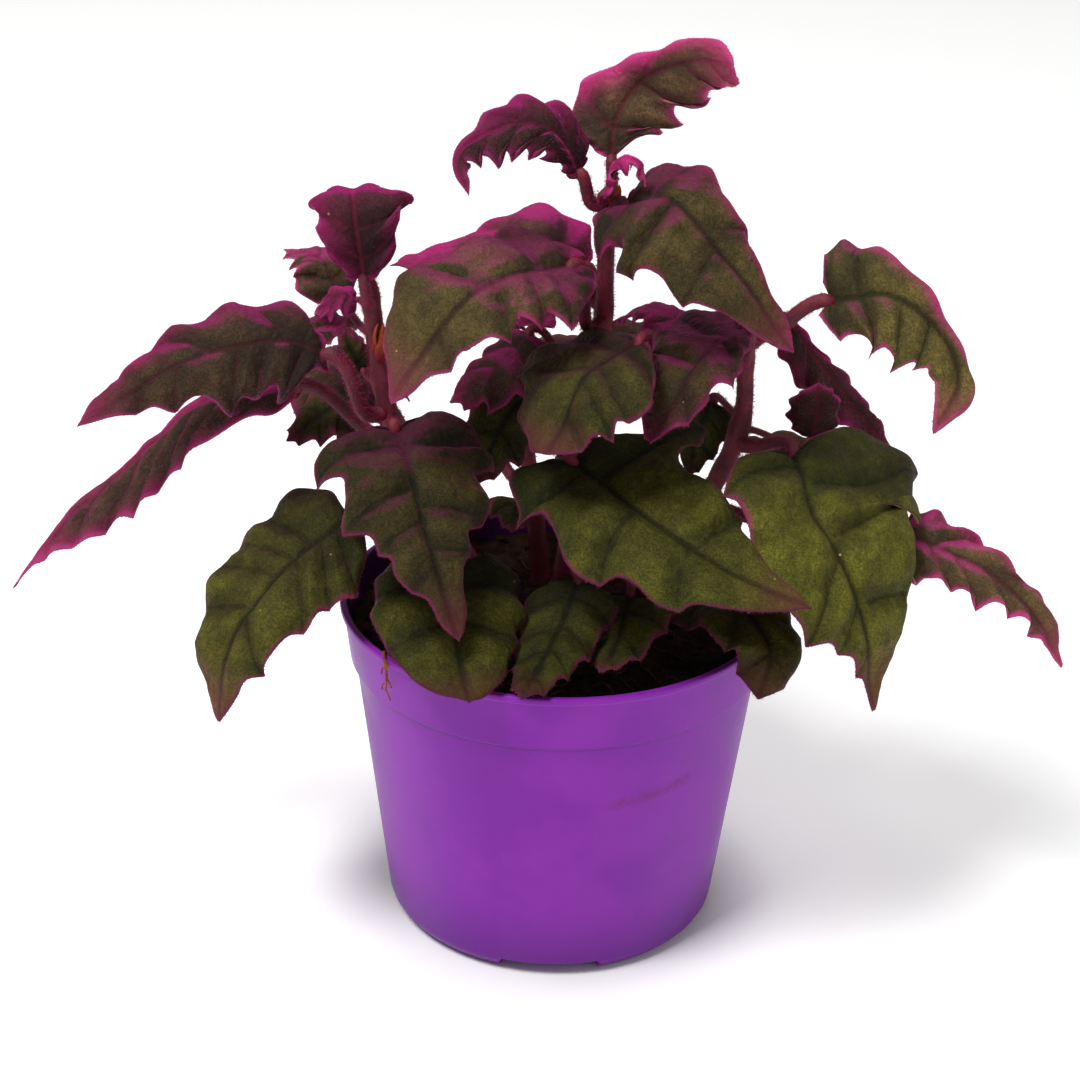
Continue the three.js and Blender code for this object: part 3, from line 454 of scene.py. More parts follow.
def make_pot():
    points, faces = turned(pot_profile(), POT_SIDES)
    angle = np.arctan2(points[:, 1], points[:, 0])
    quarter = 2 * np.pi / NOTCHES
    away = np.abs((angle - NOTCH_TURN + quarter / 2) % quarter - quarter / 2) * FOOT_RADIUS
    opened = np.clip((NOTCH_WIDTH / 2 + NOTCH_EDGE / 2 - away) / NOTCH_EDGE, 0, 1)
    points[:, 2] = np.maximum(points[:, 2], NOTCH_HEIGHT * opened)
    pot = make_piece("pot_wall", points, faces, [violet_plastic()])
    low, high = DRAIN_CUT
    rod = np.array([[0, low], [DRAIN_RADIUS, low], [DRAIN_RADIUS, high], [0, high]], float)
    rod_points, rod_faces = turned(rod, DRAIN_SIDES)
    rods = []
    for k in range(NOTCHES):
        turn = NOTCH_TURN + k * quarter
        rods.append((rod_points + [DRAIN_RING * math.cos(turn), DRAIN_RING * math.sin(turn), 0], rod_faces))
    drains = make_piece("drains", *joined(rods), [])
    cut = pot.modifiers.new("drains", "BOOLEAN")
    cut.operation = "DIFFERENCE"
    cut.object = drains
    depsgraph = bpy.context.evaluated_depsgraph_get()
    pierced = bpy.data.meshes.new_from_object(pot.evaluated_get(depsgraph))
    pot.modifiers.clear()
    pot.data = pierced
    pierced.shade_smooth()
    pierced.set_sharp_from_angle(angle=math.radians(POT_CREASE))
    bpy.data.objects.remove(drains)
    belongs(pot, "pot", "pot")


make_pot()

# The soil: dark peat compost, filled to a finger's width under the rim. It has settled in crumbs of all
# sizes with brown plant fibres between them, and one dried rootlet hangs over the rim.
SOIL_TOP = 86
SOIL_GAP = 0.6
SOIL_FLOOR_GAP = 0.3
SOIL_FOOT_GAP = 1.2
SOIL_SHOULDER = 3
LUMP_HEIGHT = 1.3
CRUMB_HEIGHT = 1.1
CRUMB_SPACING = 3.2
FINE_SPACING = 1.3
SOIL_SIDES = 160
SOIL_RINGS = 44
CRUMBS = 520
CRUMB_SIDES = 7
CRUMB_RINGS = (-0.75, -0.1, 0.55)
CRUMB_KNOBS = (0.65, 1.2)
CRUMB_WIDTH = (0.7, 1.3)
CRUMB_DEPTH = (0.5, 0.9)
CRUMB_LIFT = 0.15
CRUMB_CLEAR = 3
CRUMB_CREASE = 35
SMALLEST_CRUMB = 0.5
LARGEST_CRUMB = 2.0
FIBRES = 90
FIBRE_LENGTH = (5, 15)
FIBRE_THICKNESS = (0.12, 0.32)
FIBRE_BENDS = (-0.5, -0.2, 0.15, 0.5)
FIBRE_SWERVE = (-0.7, 0.7)
FIBRE_LIFT = (0.1, 1.0)
FIBRE_CLEAR = 8
FIBRE_STEPS = 9
THREAD_SIDES = 5
LITTER_SEED = 5202
ROOTLET = [
    (-45.5, -35.5, 93), (-45.6, -38.2, 96), (-45.2, -40.4, 95.2), (-44.6, -41.5, 91), (-44.9, -41.2, 86),
]
ROOTLET_STEPS = 26
ROOTLET_SIDES = 7
ROOTLET_THICKNESS = (0.5, 0.3)
ROOTLET_TWIGS = (9, 14, 18, 21, 24)
TWIG_ELBOW = (1.2, 0.3, -0.8)
TWIG_END = (1.9, 0, -2.6)
TWIG_STEPS = 8
TWIG_THICKNESS = 0.22
PEAT_DARK = "#1c120c"
PEAT_BROWN = "#3d281a"
FIBRE_BROWN = "#7a5232"
ROOTLET_BROWN = "#7a3b28"
ROOTLET_ORANGE = "#b5683f"


def peat(name, dark, light):
    finish, tree, shader, place = new_finish(name)
    grain = place_group(tree, GRAIN, {"Place": place, "Coarse": 3.0, "Fine": 0.45})
    colour = blend(tree, grain["Patches"], paint(dark), paint(light))
    give(tree, shader, {
        "Base Color": blend(tree, ramp(tree, grain["Grain"], 0, 1, 0, 0.6), colour, paint(dark)),
        "Normal": relief_normal(tree, grain["Grain"], 0.8, 0.5),
        "Roughness": 0.95,
        "Specular IOR Level": 0.2,
    })
    return finish


def soil_height(x, y):
    """The top of the compost: crossed waves for its lumps, and noise at two sizes for its crumbs."""
    lump = math.sin(x * 0.31 + 1) * math.cos(y * 0.27) + 0.5 * math.sin(x * 0.73 - y * 0.61)
    crumbs = noise.noise(Vector((x / CRUMB_SPACING, y / CRUMB_SPACING, 4)))
    crumbs += 0.6 * noise.noise(Vector((x / FINE_SPACING, y / FINE_SPACING, 9)))
    return SOIL_TOP + LUMP_HEIGHT * lump + CRUMB_HEIGHT * crumbs


def make_soil():
    edge = inside_radius(SOIL_TOP) - SOIL_GAP
    floor = FLOOR_RISE + WALL + SOIL_FLOOR_GAP
    corner = floor + FOOT_CORNER
    line = [(0, floor), (inside_radius(floor) - 2 * FOOT_CORNER, floor)]
    line.append((inside_radius(corner) - SOIL_FOOT_GAP, corner))
    for z in (BAND_FOOT - WALL, BAND_FOOT + INNER_STEP, SOIL_TOP - SOIL_SHOULDER):
        line.append((inside_radius(z) - SOIL_GAP, z))
    line += [(edge * (1 - j / SOIL_RINGS), SOIL_TOP) for j in range(SOIL_RINGS + 1)]
    points, faces = turned(np.array(line, float), SOIL_SIDES)
    for point in points:
        if point[2] >= SOIL_TOP:
            point[2] = soil_height(point[0], point[1])
    belongs(make_piece("soil_bed", points, faces, [peat("peat", PEAT_DARK, PEAT_BROWN)]), "soil", "soil")


def crumb(middle, size, chance):
    """A knobbly lump: a low ball with each point pushed in or out."""
    points = [(0, 0, -1)]
    for z in CRUMB_RINGS:
        for k in range(CRUMB_SIDES):
            angle = 2 * math.pi * (k + z) / CRUMB_SIDES
            points.append((math.cos(angle) * math.sqrt(1 - z * z), math.sin(angle) * math.sqrt(1 - z * z), z))
    points = np.array(points + [(0, 0, 1)])
    points *= np.array([[chance.uniform(*CRUMB_KNOBS)] for _ in points])
    points *= [chance.uniform(*reach) for reach in (CRUMB_WIDTH, CRUMB_WIDTH, CRUMB_DEPTH)]
    top, last = (len(CRUMB_RINGS) - 1) * CRUMB_SIDES + 1, len(points) - 1
    faces = [(0, 1 + (k + 1) % CRUMB_SIDES, 1 + k) for k in range(CRUMB_SIDES)]
    faces += [tuple(v + 1 for v in face) for face in strips(len(CRUMB_RINGS), CRUMB_SIDES)]
    faces += [(last, top + k, top + (k + 1) % CRUMB_SIDES) for k in range(CRUMB_SIDES)]
    return points * size + middle, faces


def unit(vectors):
    return vectors / np.maximum(np.linalg.norm(vectors, axis=-1, keepdims=True), 1e-9)


def run_along(line):
    """How far along a line each of its points is."""
    return np.concatenate([[0], np.cumsum(np.linalg.norm(np.diff(line, axis=0), axis=1))])


def looked_up(at, run, values):
    """The values at other places along a run, column by column."""
    return np.stack([np.interp(at, run, values[:, i]) for i in range(values.shape[1])], axis=1)


def smooth_line(points, count):
    """A smooth line through the points, in equal steps."""
    points = np.array(points, float)
    padded = np.vstack([2 * points[0] - points[1], points, 2 * points[-1] - points[-2]])
    t = np.linspace(0, 1, 50, endpoint=False)[:, None]
    parts = []
    for a, b, c, d in zip(padded, padded[1:], padded[2:], padded[3:]):
        bend = t**2 * (a - 2.5 * b + 2 * c - 0.5 * d) + t**3 * (1.5 * b - 0.5 * a - 1.5 * c + 0.5 * d)
        parts.append(b + 0.5 * t * (c - a) + bend)
    line = np.vstack([*parts, points[-1:]])
    run = run_along(line)
    return looked_up(np.linspace(0, run[-1], count), run, line)


def carried(line, face, middle=0):
    """The face direction at each point of a line, carried both ways from the middle point with no spin."""
    tangents = unit(np.gradient(line, axis=0))
    faces = np.zeros_like(line)
    for order in (range(middle, len(line)), range(middle, -1, -1)):
        current = np.array(face, float)
        for i in order:
            current = current - tangents[i] * (current @ tangents[i])
            current /= np.linalg.norm(current)
            faces[i] = current
    return tangents, faces


def tube(line, wide, deep, face, sides, middle=0):
    """A closed round tube along a line. wide and deep are its half sizes beside and along the face."""
    tangents, faces = carried(line, face, middle)
    beside = np.cross(tangents, faces)
    angles = np.linspace(0, 2 * np.pi, sides, endpoint=False)[:, None]
    wide = np.broadcast_to(wide, len(line))[:, None, None]
    deep = np.broadcast_to(deep, len(line))[:, None, None]
    round_way = wide * beside[:, None] * np.cos(angles) + deep * faces[:, None] * np.sin(angles)
    rings = (line[:, None] + round_way).reshape(-1, 3)
    start = line[0] - tangents[0] * deep[0, 0, 0] * 0.5
    end = line[-1] + tangents[-1] * deep[-1, 0, 0] * 0.5
    return np.vstack([rings, start, end]), [face[::-1] for face in wrapped(len(line), sides)]


def make_crumbs(reach, chance):
    lumps = []
    for _ in range(CRUMBS):
        angle = chance.uniform(0, 2 * math.pi)
        radius = reach * math.sqrt(chance.random())
        x, y = radius * math.cos(angle), radius * math.sin(angle)
        size = SMALLEST_CRUMB + (LARGEST_CRUMB - SMALLEST_CRUMB) * chance.random() ** 3
        lumps.append(crumb(np.array([x, y, soil_height(x, y) + size * CRUMB_LIFT]), size, chance))
    finish = peat("peat_crumb", PEAT_DARK, PEAT_BROWN)
    belongs(make_piece("peat_crumbs", *joined(lumps), [finish], crease=CRUMB_CREASE), "soil")


def make_fibres(reach, chance):
    strands = []
    for _ in range(FIBRES):
        angle = chance.uniform(0, 2 * math.pi)
        radius = (reach - FIBRE_CLEAR) * math.sqrt(chance.random())
        heading = chance.uniform(0, 2 * math.pi)
        length = chance.uniform(*FIBRE_LENGTH)
        line = []
        for bend in FIBRE_BENDS:
            x = radius * math.cos(angle) + length * bend * math.cos(heading) + chance.uniform(*FIBRE_SWERVE)
            y = radius * math.sin(angle) + length * bend * math.sin(heading) + chance.uniform(*FIBRE_SWERVE)
            line.append((x, y, soil_height(x, y) + chance.uniform(*FIBRE_LIFT)))
        thick = chance.uniform(*FIBRE_THICKNESS)
        strands.append(tube(smooth_line(line, FIBRE_STEPS), thick, thick, (0, 0, 1), THREAD_SIDES))
    finish = peat("plant_fibre", PEAT_BROWN, FIBRE_BROWN)
    belongs(make_piece("peat_fibres", *joined(strands), [finish]), "soil")


def make_rootlet():
    """The dried rootlet: a bent main root with short twigs to its two sides by turns."""
    root = smooth_line(ROOTLET, ROOTLET_STEPS)
    thick = np.linspace(*ROOTLET_THICKNESS, ROOTLET_STEPS)
    twigs = [tube(root, thick, thick, (1, 0, 0), ROOTLET_SIDES)]
    for k, at in enumerate(ROOTLET_TWIGS):
        out = unit(np.array([root[at][0], root[at][1], 0.0]))
        beside = np.array([-out[1], out[0], 0]) * (-1 if k % 2 else 1)
        ways = np.array([beside, out, (0, 0, 1)])
        twig = smooth_line([root[at], root[at] + TWIG_ELBOW @ ways, root[at] + TWIG_END @ ways], TWIG_STEPS)
        twigs.append(tube(twig, TWIG_THICKNESS, TWIG_THICKNESS, (1, 0, 0), THREAD_SIDES))
    finish = peat("dry_root", ROOTLET_BROWN, ROOTLET_ORANGE)
    belongs(make_piece("dried_rootlet", *joined(twigs), [finish]), "soil")


make_soil()
litter_reach = inside_radius(SOIL_TOP) - CRUMB_CLEAR
litter_chance = random.Random(LITTER_SEED)
make_crumbs(litter_reach, litter_chance)
make_fibres(litter_reach, litter_chance)
make_rootlet()

# The stems: soft round shoots, crimson under a dense coat of purple hairs, a little swollen where each leaf
# is joined. Each stands in the compost by its foot and thins out on its path to the young leaves at its end.
STEMS = {
    "tall": dict(
        foot=(0, 7, 64), thick=6.4, slim=4.2,
        path=[(2, 6, 98), (6, 6, 132), (10, 4, 172), (10, 1, 211)],
    ),
    "left": dict(
        foot=(-13, 3, 64), thick=6, slim=4,
        path=[(-22, 2, 96), (-36, 0, 128), (-47, -3, 152), (-51, -5, 188)],
    ),
    "right": dict(
        foot=(14, 6, 64), thick=6, slim=4.2,
        path=[(24, 4, 98), (40, 0, 126), (48, -1, 150), (47, 4, 174)],
    ),
    "back": dict(
        foot=(-3, 21, 64), thick=5.6, slim=4,
        path=[(-6, 30, 98), (-10, 42, 124), (-12, 50, 146)],
    ),
}
STEM_SIDES = 20
STEM_STEPS = 110
STEM_RIDGES = 5
RIDGE_HEIGHT = 0.035
JOINT_SWELL = 0.35
JOINT_RUN = 3.0
STEM_END = (0.92, 0.8, 0.55)
BURIED_HAIRS = 4
STEM_HAIRS_PER_MM2 = 2.2
STEM_HAIR_LENGTH = 1.3
HAIR_THICKNESS = 0.055
HAIR_LENGTHS = (0.5, 1.15)
HAIR_LEAN = 0.35
HAIR_ROOT = 0.97
SIDEWAYS = (1, 0, 0.1)
STEM_SEED = 100
CRIMSON = "#78122a"
DEEP_CRIMSON = "#4f0d22"
HAIR_PURPLE = "#8e173a"


def purple_hair(name, code):
    finish, tree, shader, place = new_finish(name)
    grain = place_group(tree, GRAIN, {"Place": place, "Coarse": 7.0, "Fine": 1.0})
    give(tree, shader, {
        "Base Color": blend(tree, ramp(tree, grain["Patches"], 0, 1, 0, 0.35), paint(code), paint(CRIMSON)),
        "Roughness": 0.6,
        "Specular IOR Level": 0.3,
        "Subsurface Weight": 0.3,
        "Subsurface Radius": (0.0008, 0.0002, 0.0005),
    })
    return finish


def stem_skin():
    finish, tree, shader, place = new_finish("crimson_stem")
    grain = place_group(tree, GRAIN, {"Place": place, "Coarse": 6.0, "Fine": 0.5})
    give(tree, shader, {
        "Base Color": blend(tree, grain["Patches"], paint(DEEP_CRIMSON), paint(CRIMSON)),
        "Normal": relief_normal(tree, grain["Grain"], 0.5, 0.2),
        "Roughness": 0.6,
        "Sheen Weight": 0.12,
        "Sheen Roughness": 0.4,
        "Sheen Tint": paint(HAIR_PURPLE),
    })
    return finish


STEM_SKIN = stem_skin()
STEM_HAIR = purple_hair("stem_hair", HAIR_PURPLE)


def hairs(roots, directions, lengths, thickness, chance):
    """A three-sided spike for each root."""
    count = len(roots)
    directions = unit(directions)
    beside = unit(np.cross(directions, chance.normal(size=(count, 3))))
    other = np.cross(directions, beside)
    angles = (np.array([0, 2, 4]) * np.pi / 3)[:, None]
    base = beside[:, None] * np.cos(angles) + other[:, None] * np.sin(angles)
    feet = roots[:, None] + base * thickness
    tips = roots + directions * lengths[:, None]
    points = np.concatenate([feet, tips[:, None]], axis=1).reshape(-1, 3)
    start = np.arange(count)[:, None] * 4
    faces = np.concatenate([start + f for f in ([0, 1, 3], [1, 2, 3], [2, 0, 3], [0, 2, 1])])
    return points, [tuple(f) for f in faces.tolist()]


def tube_hairs(line, radius, density, length, chance, start):
    """Hairs all over a tube, from a share of its length on."""
    span = run_along(line)[-1] * (1 - start)
    count = int(span * 2 * np.pi * float(np.mean(radius)) * density)
    tangents, faces = carried(line, SIDEWAYS)
    at = (start + (1 - start) * chance.random(count)) * (len(line) - 1.001)
    low = at.astype(int)
    part = (at - low)[:, None]
    middle = line[low] * (1 - part) + line[low + 1] * part
    angle = chance.random(count)[:, None] * 2 * np.pi
    out = faces[low] * np.cos(angle) + np.cross(tangents[low], faces[low]) * np.sin(angle)
    radius = np.broadcast_to(radius, len(line))[low][:, None]
    lean = chance.normal(scale=HAIR_LEAN, size=(count, 3))
    lengths = length * chance.uniform(*HAIR_LENGTHS, count)
    return hairs(middle + out * radius * HAIR_ROOT, out + lean, lengths, HAIR_THICKNESS, chance)


def bell(x, width):
    """1 at nothing, falling away to both sides."""
    return np.exp(-((x / width) ** 2))


def stem_line(stem, count):
    low, high = np.array(stem["foot"], float), np.array(stem["path"][0], float)
    return smooth_line([low, low + (high - low) * 0.6, *stem["path"]], count)


def make_stem(name, stem, joints, seed):
    chance = np.random.default_rng(seed)
    line = stem_line(stem, STEM_STEPS)
    radius = np.linspace(stem["thick"], stem["slim"], STEM_STEPS) / 2
    for joint in joints:
        radius = radius + JOINT_SWELL * bell(line[:, 2] - joint, JOINT_RUN)
    radius[-len(STEM_END) :] *= STEM_END
    points, faces = tube(line, radius, radius, SIDEWAYS, STEM_SIDES)
    angle = np.tile(np.arange(STEM_SIDES) * 2 * np.pi / STEM_SIDES, STEM_STEPS)
    middle = np.repeat(line, STEM_SIDES, axis=0)
    ridges = 1 + RIDGE_HEIGHT * np.cos(STEM_RIDGES * angle)[:, None]
    points[:-2] = middle + (points[:-2] - middle) * ridges
    above = (SOIL_TOP - BURIED_HAIRS - line[0, 2]) / (line[-1, 2] - line[0, 2])
    fuzz = tube_hairs(line, radius, STEM_HAIRS_PER_MM2, STEM_HAIR_LENGTH, chance, above)
    choice = np.repeat([0, 1], [len(faces), len(fuzz[1])])
    shoot = make_piece("shoot_" + name, *joined([(points, faces), fuzz]), [STEM_SKIN, STEM_HAIR], choice)
    belongs(shoot, "stem", "stem_" + name)


# The leaves: soft blades on hairy stalks, quilted between sunken veins, with a tooth at the end of each
# side vein. Young ones are purple all over and hooked at the edge, and old ones are green with a purple
# rim. Each is named after its stem, and its stalk grows out of that stem at a joint.

# What a leaf has of its own, where it differs from a plain one. A pair is for its left and right side.
# joint: the height of its joint. rib: its midrib from the foot of the blade to the tip.
# left, right: its half widths. left_edge, right_edge: points of the edge, as the way along the midrib and out
# from it, with a 1 at the tip of a tooth. Other edges are regular ones.
# age: from 0 for a bud leaf to 1 for a full-grown one. teeth: how many a side.
# roll: the turn of the blade about its midrib. fold, curl, rolled: how steeply its halves fall away at the
# rib, further out and at the edge, in degrees. faces: where its top looks, if that isn't up.
# lobe: how far the foot of a regular edge slants to the tip. taper: how soon its width shrinks.
# tone: how light it is, partly its own tone and partly painted light or shade for where it lies. flush: how
# far its purple edge reaches in, in millimetres, partly a painted sheen of its hairs. blush: the stretch of
# the edge, as shares, beside which it is purple right across.
PLAIN_LEAF = dict(roll=0, fold=10, curl=20, teeth=3, lobe=-0.1, taper=0.9, tone_and_shade=0.85)
LEAVES = {
    "tall_1": dict(
        joint=209, left=15, right=21, roll=35, fold=5, curl=(12, 25), rolled=60, teeth=4, age=0.3,
        tone_and_shade=1.75, flush=(3, 1.5),
        rib=[(11, 3, 219), (12, 7, 228), (18, 7, 238), (30, -2, 246), (40, -10, 247)],
        lobe=0.2, taper=1.1, faces=(-0.1, -0.8, 0.6),
        left_edge=[(0, 2), (2, 5), (7, 10.5), (10, 16), (12, 15), (14, 12.5), (17, 10.5), (22, 7.5),
            (28, 5.5), (38, 5.5), (46, 6), (51, 3), (52, 0)],
        right_edge=[(1, 1), (5, 5), (8, 8.5), (10, 10), (11, 13.5, 1), (12.5, 11), (15, 12), (17, 14),
            (17.5, 18.5, 1), (19.5, 15.5), (22, 12.5), (26, 11), (30, 11.5), (32.5, 13), (33.5, 17, 1),
            (35.5, 13.5), (38, 10.5), (41, 8.5), (44, 8.5), (45.5, 12, 1), (47, 8), (49, 6),
            (50.5, 7.5, 1), (51.5, 3.5), (52, 0)],
    ),
    "tall_2": dict(
        joint=207, left=12, right=10, roll=-45, curl=(25, 0), rolled=60, teeth=5, age=0.1,
        tone_and_shade=0.68, flush=(1, 3.5),
        rib=[(3, -3, 217), (-5, -5, 229), (-18, -8, 230), (-28, -12, 223), (-25, -16, 214)],
        lobe=0.2,
        left_edge=[(0, 2), (2, 3.5), (3, 5.5, 1), (4.5, 4), (8, 5), (10, 8, 1), (11, 6), (15, 6.5), (18, 7.5),
            (19.5, 11, 1), (21, 7.5), (25, 7), (27, 10.5, 1), (28.5, 7), (32, 7), (34, 10.5, 1),
            (35.5, 5.5), (38, 4.5), (40, 7.5, 1), (41, 3.5), (43, 2.5), (45, 4.5, 1),
            (46, 2), (49, 1.4), (52, 0)],
        right_edge=[(0, 4), (1, 9), (5, 13), (12, 12), (18, 10), (24, 8), (31, 5), (38, 2), (45, 1.4),
            (52, 0)],
    ),
    "tall_3": dict(
        joint=208.5, left=4, right=4.5, roll=30, fold=20, curl=30, age=0,
        tone_and_shade=1.3, flush=3,
        rib=[(8.5, -5, 212), (9.5, -9, 219), (13.5, -11, 223.5), (18, -12, 222), (19.5, -13, 216.5)],
    ),
    "tall_4": dict(
        joint=198, left=21, right=22, roll=34, fold=5, curl=(12, 25), rolled=(35, 60), teeth=4, age=0.5,
        tone_and_shade=0.95, flush=(3, 1),
        rib=[(14, -8, 211), (26, -18, 215), (40, -28, 203), (57, -34, 181)],
        left_edge=[(-1, 4), (-3, 12), (-2, 20), (5, 23), (12, 19.5), (18, 16.5), (24, 15), (27, 12),
            (31, 11), (35, 13, 1), (38, 9), (46, 6.5), (52, 5), (59, 4.5), (66, 0)],
        right_edge=[(-2, 2), (-7, 5), (-5, 10), (0, 18, 1), (4, 16), (12, 22), (20, 25), (26, 27, 1),
            (26, 19), (31, 17), (36, 19), (40, 18, 1), (41, 13.5), (47, 10), (54, 7), (62, 3), (66, 0)],
    ),
    "tall_5": dict(
        joint=172, left=24, right=24, roll=-22, fold=5, curl=12, rolled=(35, 60), teeth=4, age=0.5,
        tone_and_shade=1.05, flush=(1, 3),
        rib=[(1, -8, 194), (-14, -22, 196), (-29, -34, 189), (-43, -42, 168)],
        left_edge=[(-4, 3), (-5, 6), (2, 12), (9, 18), (15, 21, 1), (18, 15), (21, 15), (24, 18, 1),
            (28, 12.5), (31, 14), (35, 17, 1), (39, 12), (44, 10.5), (48, 8.5), (53, 9, 1), (57, 5),
            (63, 3), (68, 0)],
        right_edge=[(-7, 2), (-9, 9), (-3, 12), (-3, 19), (3, 25), (10, 22), (18, 19), (27, 17.5),
            (34, 19), (40, 23), (46, 22), (52, 18), (58, 12), (63, 6), (68, 0)],
    ),
    "tall_6": dict(
        joint=178, left=14, right=18, roll=-20, fold=15, curl=25, teeth=4, age=0.2,
        tone_and_shade=1.1, flush=(2, 8),
        rib=[(5, 8, 188), (-10, 16, 194), (-31, 18, 186), (-47, 12, 185)],
        lobe=0,
        left_edge=[(0, 4), (8, 9), (20, 11), (34, 9), (46, 6), (56, 0)],
        right_edge=[(0, 4), (6, 12), (12, 17), (18, 17), (26, 17), (34, 14), (44, 9), (52, 5), (56, 0)],
    ),
    "tall_7": dict(
        joint=156, left=16, right=14, fold=15, curl=25, age=0.25,
        tone_and_shade=0.75, flush=(1.5, 4),
        rib=[(-10, 10, 168), (-17, 4, 162), (-30, -4, 153)],
    ),
    "tall_8": dict(
        joint=162, left=20, right=22, roll=-5, curl=(12, 0), rolled=35, teeth=4, age=0.8,
        tone_and_shade=0.66, flush=1,
        rib=[(18, -23, 179), (5, -36, 174), (-4, -46, 157)],
        taper=0.6,
        left_edge=[(-2, 2), (3, 9), (8, 14), (12, 18), (18, 20.5), (23, 20), (26, 18, 1), (27, 15),
            (32, 16, 1), (32, 11), (37, 9, 1), (39, 5), (41, 0)],
        right_edge=[(-3, 3), (-6, 12), (-7, 24), (-4, 34), (3, 38), (13, 35), (21, 32, 1), (24, 27),
            (29, 27), (34, 22), (38, 15), (41, 8), (41, 0)],
    ),
    "tall_9": dict(
        joint=128, left=29, right=26, roll=35, fold=8, curl=(12, 0), rolled=(15, 35), teeth=4, age=1,
        tone_and_shade=0.75, flush=0.8,
        rib=[(3, -20, 144), (20, -41, 140), (39, -54, 132), (63, -64, 124.5)],
        left_edge=[(-5, 2), (-5, 10), (0, 19), (2, 30), (0, 40), (3, 44, 1), (9, 36), (13, 26), (17, 22),
            (24, 22.5), (31, 22.5), (41, 20.5), (49, 20, 1), (51, 15), (57, 11), (64, 7), (72, 4),
            (78, 0)],
        right_edge=[(-6, 4), (-11, 12), (-6, 17), (0, 20.5), (3, 24, 1), (7, 17), (12, 18), (18, 20.5),
            (27, 23.5), (33, 23, 1), (35, 18), (40, 16.5), (46, 17.5), (51, 16.5, 1), (53, 12.5),
            (58, 10), (65, 7.5), (72, 4), (78, 0)],
    ),
    "tall_10": dict(
        joint=106, left=13, right=13, fold=5, curl=15, teeth=4, age=1,
        tone_and_shade=0.5, flush=0.6,
        rib=[(5, -22, 110.5), (-1, -42, 103), (-9, -64, 97)],
        taper=0.7,
    ),
    "tall_11": dict(
        joint=100, left=13, right=13, fold=5, curl=15, age=1,
        tone_and_shade=0.7, flush=0.8,
        rib=[(19, -24, 107.5), (15.5, -39, 102), (11, -49, 97)],
    ),
    "left_1": dict(
        joint=182, left=13, right=13, fold=5, curl=0, rolled=60, age=0,
        tone_and_shade=0.75, flush=(5, 3), blush=(0.62, 0.9),
        rib=[(-52, -11, 190), (-53.5, -15, 205), (-54.5, -10, 213), (-54.5, 4, 207)],
        taper=0.5, lobe=0.6, faces=(0, -1, 0.2),
        left_edge=[(-1, 3), (1, 6), (7, 7.5), (10, 8.5), (14, 12, 1), (17, 9), (20, 9.5), (23, 13, 1),
            (26, 11), (30, 10), (36, 6), (41, 0)],
        right_edge=[(-1, 2), (1, 5), (6, 8.5), (10, 9.5), (14, 13, 1), (17, 11), (21, 12), (22, 18, 1),
            (26, 13), (30, 11), (36, 6), (41, 0)],
    ),
    "left_2": dict(
        joint=176, left=6, right=6, roll=-10, curl=10, age=0.1,
        rib=[(-55, 3, 179), (-60, 2, 180), (-66, 1, 175)],
    ),
    "left_3": dict(
        joint=158, left=6, right=6, fold=0, age=0.8,
        rib=[(-53, -2, 161), (-56, -3, 167), (-58, -2, 172)],
        faces=(0.2, -1, 0.1),
    ),
    "left_4": dict(
        joint=171, left=11, right=11, age=0.4,
        tone_and_shade=1.5, flush=0.8,
        rib=[(-60, 12, 177), (-66, 18, 186), (-76, 24, 185)],
    ),
    "left_5": dict(
        joint=160, left=9, right=9, age=0.4,
        tone_and_shade=1.5, flush=0.8,
        rib=[(-59, 12, 167), (-67, 18, 168), (-76, 24, 161)],
    ),
    "left_6": dict(
        joint=150, left=20, right=17, roll=-52, fold=15, curl=(12, 25), rolled=60, teeth=4, age=0.3,
        tone_and_shade=0.8, flush=(1, 3.5),
        rib=[(-62, -12, 170), (-76, -14, 174), (-100, -18, 168), (-125, -26, 153)],
        left_edge=[(-1, 2), (-3, 7, 1), (1, 5), (3, 9), (7, 19, 1), (13, 13), (18, 13), (23, 18, 1),
            (26, 15), (31, 19, 1), (35, 12.5), (42, 10), (47, 11.5, 1), (51, 7), (56, 7.5, 1), (60, 3.5),
            (70, 0)],
        right_edge=[(0, 3), (4, 7), (9, 11), (15, 14), (22, 15), (30, 14), (36, 11.5), (41, 12.5),
            (46, 11.5), (50, 7), (56, 7), (63, 4.5), (70, 0)],
    ),
    "left_7": dict(
        joint=142, left=18, right=13, roll=-14, fold=15, curl=(12, 25), rolled=(35, 60), teeth=4, age=0.2,
        tone_and_shade=1.15, flush=(1.5, 3),
        rib=[(-72, 4, 154), (-96, 6, 149), (-120, 8, 126), (-137, 5, 111), (-150, 0, 94)],
        lobe=0.4, taper=0.65,
        left_edge=[(0, 5), (6, 9), (11, 9), (20, 12), (28, 13), (35, 12), (41, 14, 1), (46, 13),
            (52, 14.5, 1), (56, 13), (62, 15, 1), (66, 12), (72, 13.5, 1), (77, 11), (84, 9, 1), (88, 5),
            (92, 4, 1), (97, 1), (105, 0)],
        right_edge=[(0, 4), (8, 6), (20, 4), (33, 3), (58, 2.5), (80, 3.5), (90, 2.5), (98, 1.5), (105, 0)],
    ),
    "left_8": dict(
        joint=145, left=22, right=27, fold=5, curl=(12, 25), rolled=(60, 35), teeth=4, age=0.6,
        tone_and_shade=0.58, flush=1,
        rib=[(-44, -14, 150), (-39, -32, 146), (-32, -51, 130), (-25, -60, 111)],
        left_edge=[(-3, 4), (-8, 12), (-11, 19), (-6, 27), (3, 31, 1), (9, 28), (17, 22), (24, 21),
            (30, 21.5), (36, 20, 1), (38, 13.5), (42, 11.5), (46, 12, 1), (48, 8.5), (55, 6.5), (63, 4),
            (67, 0)],
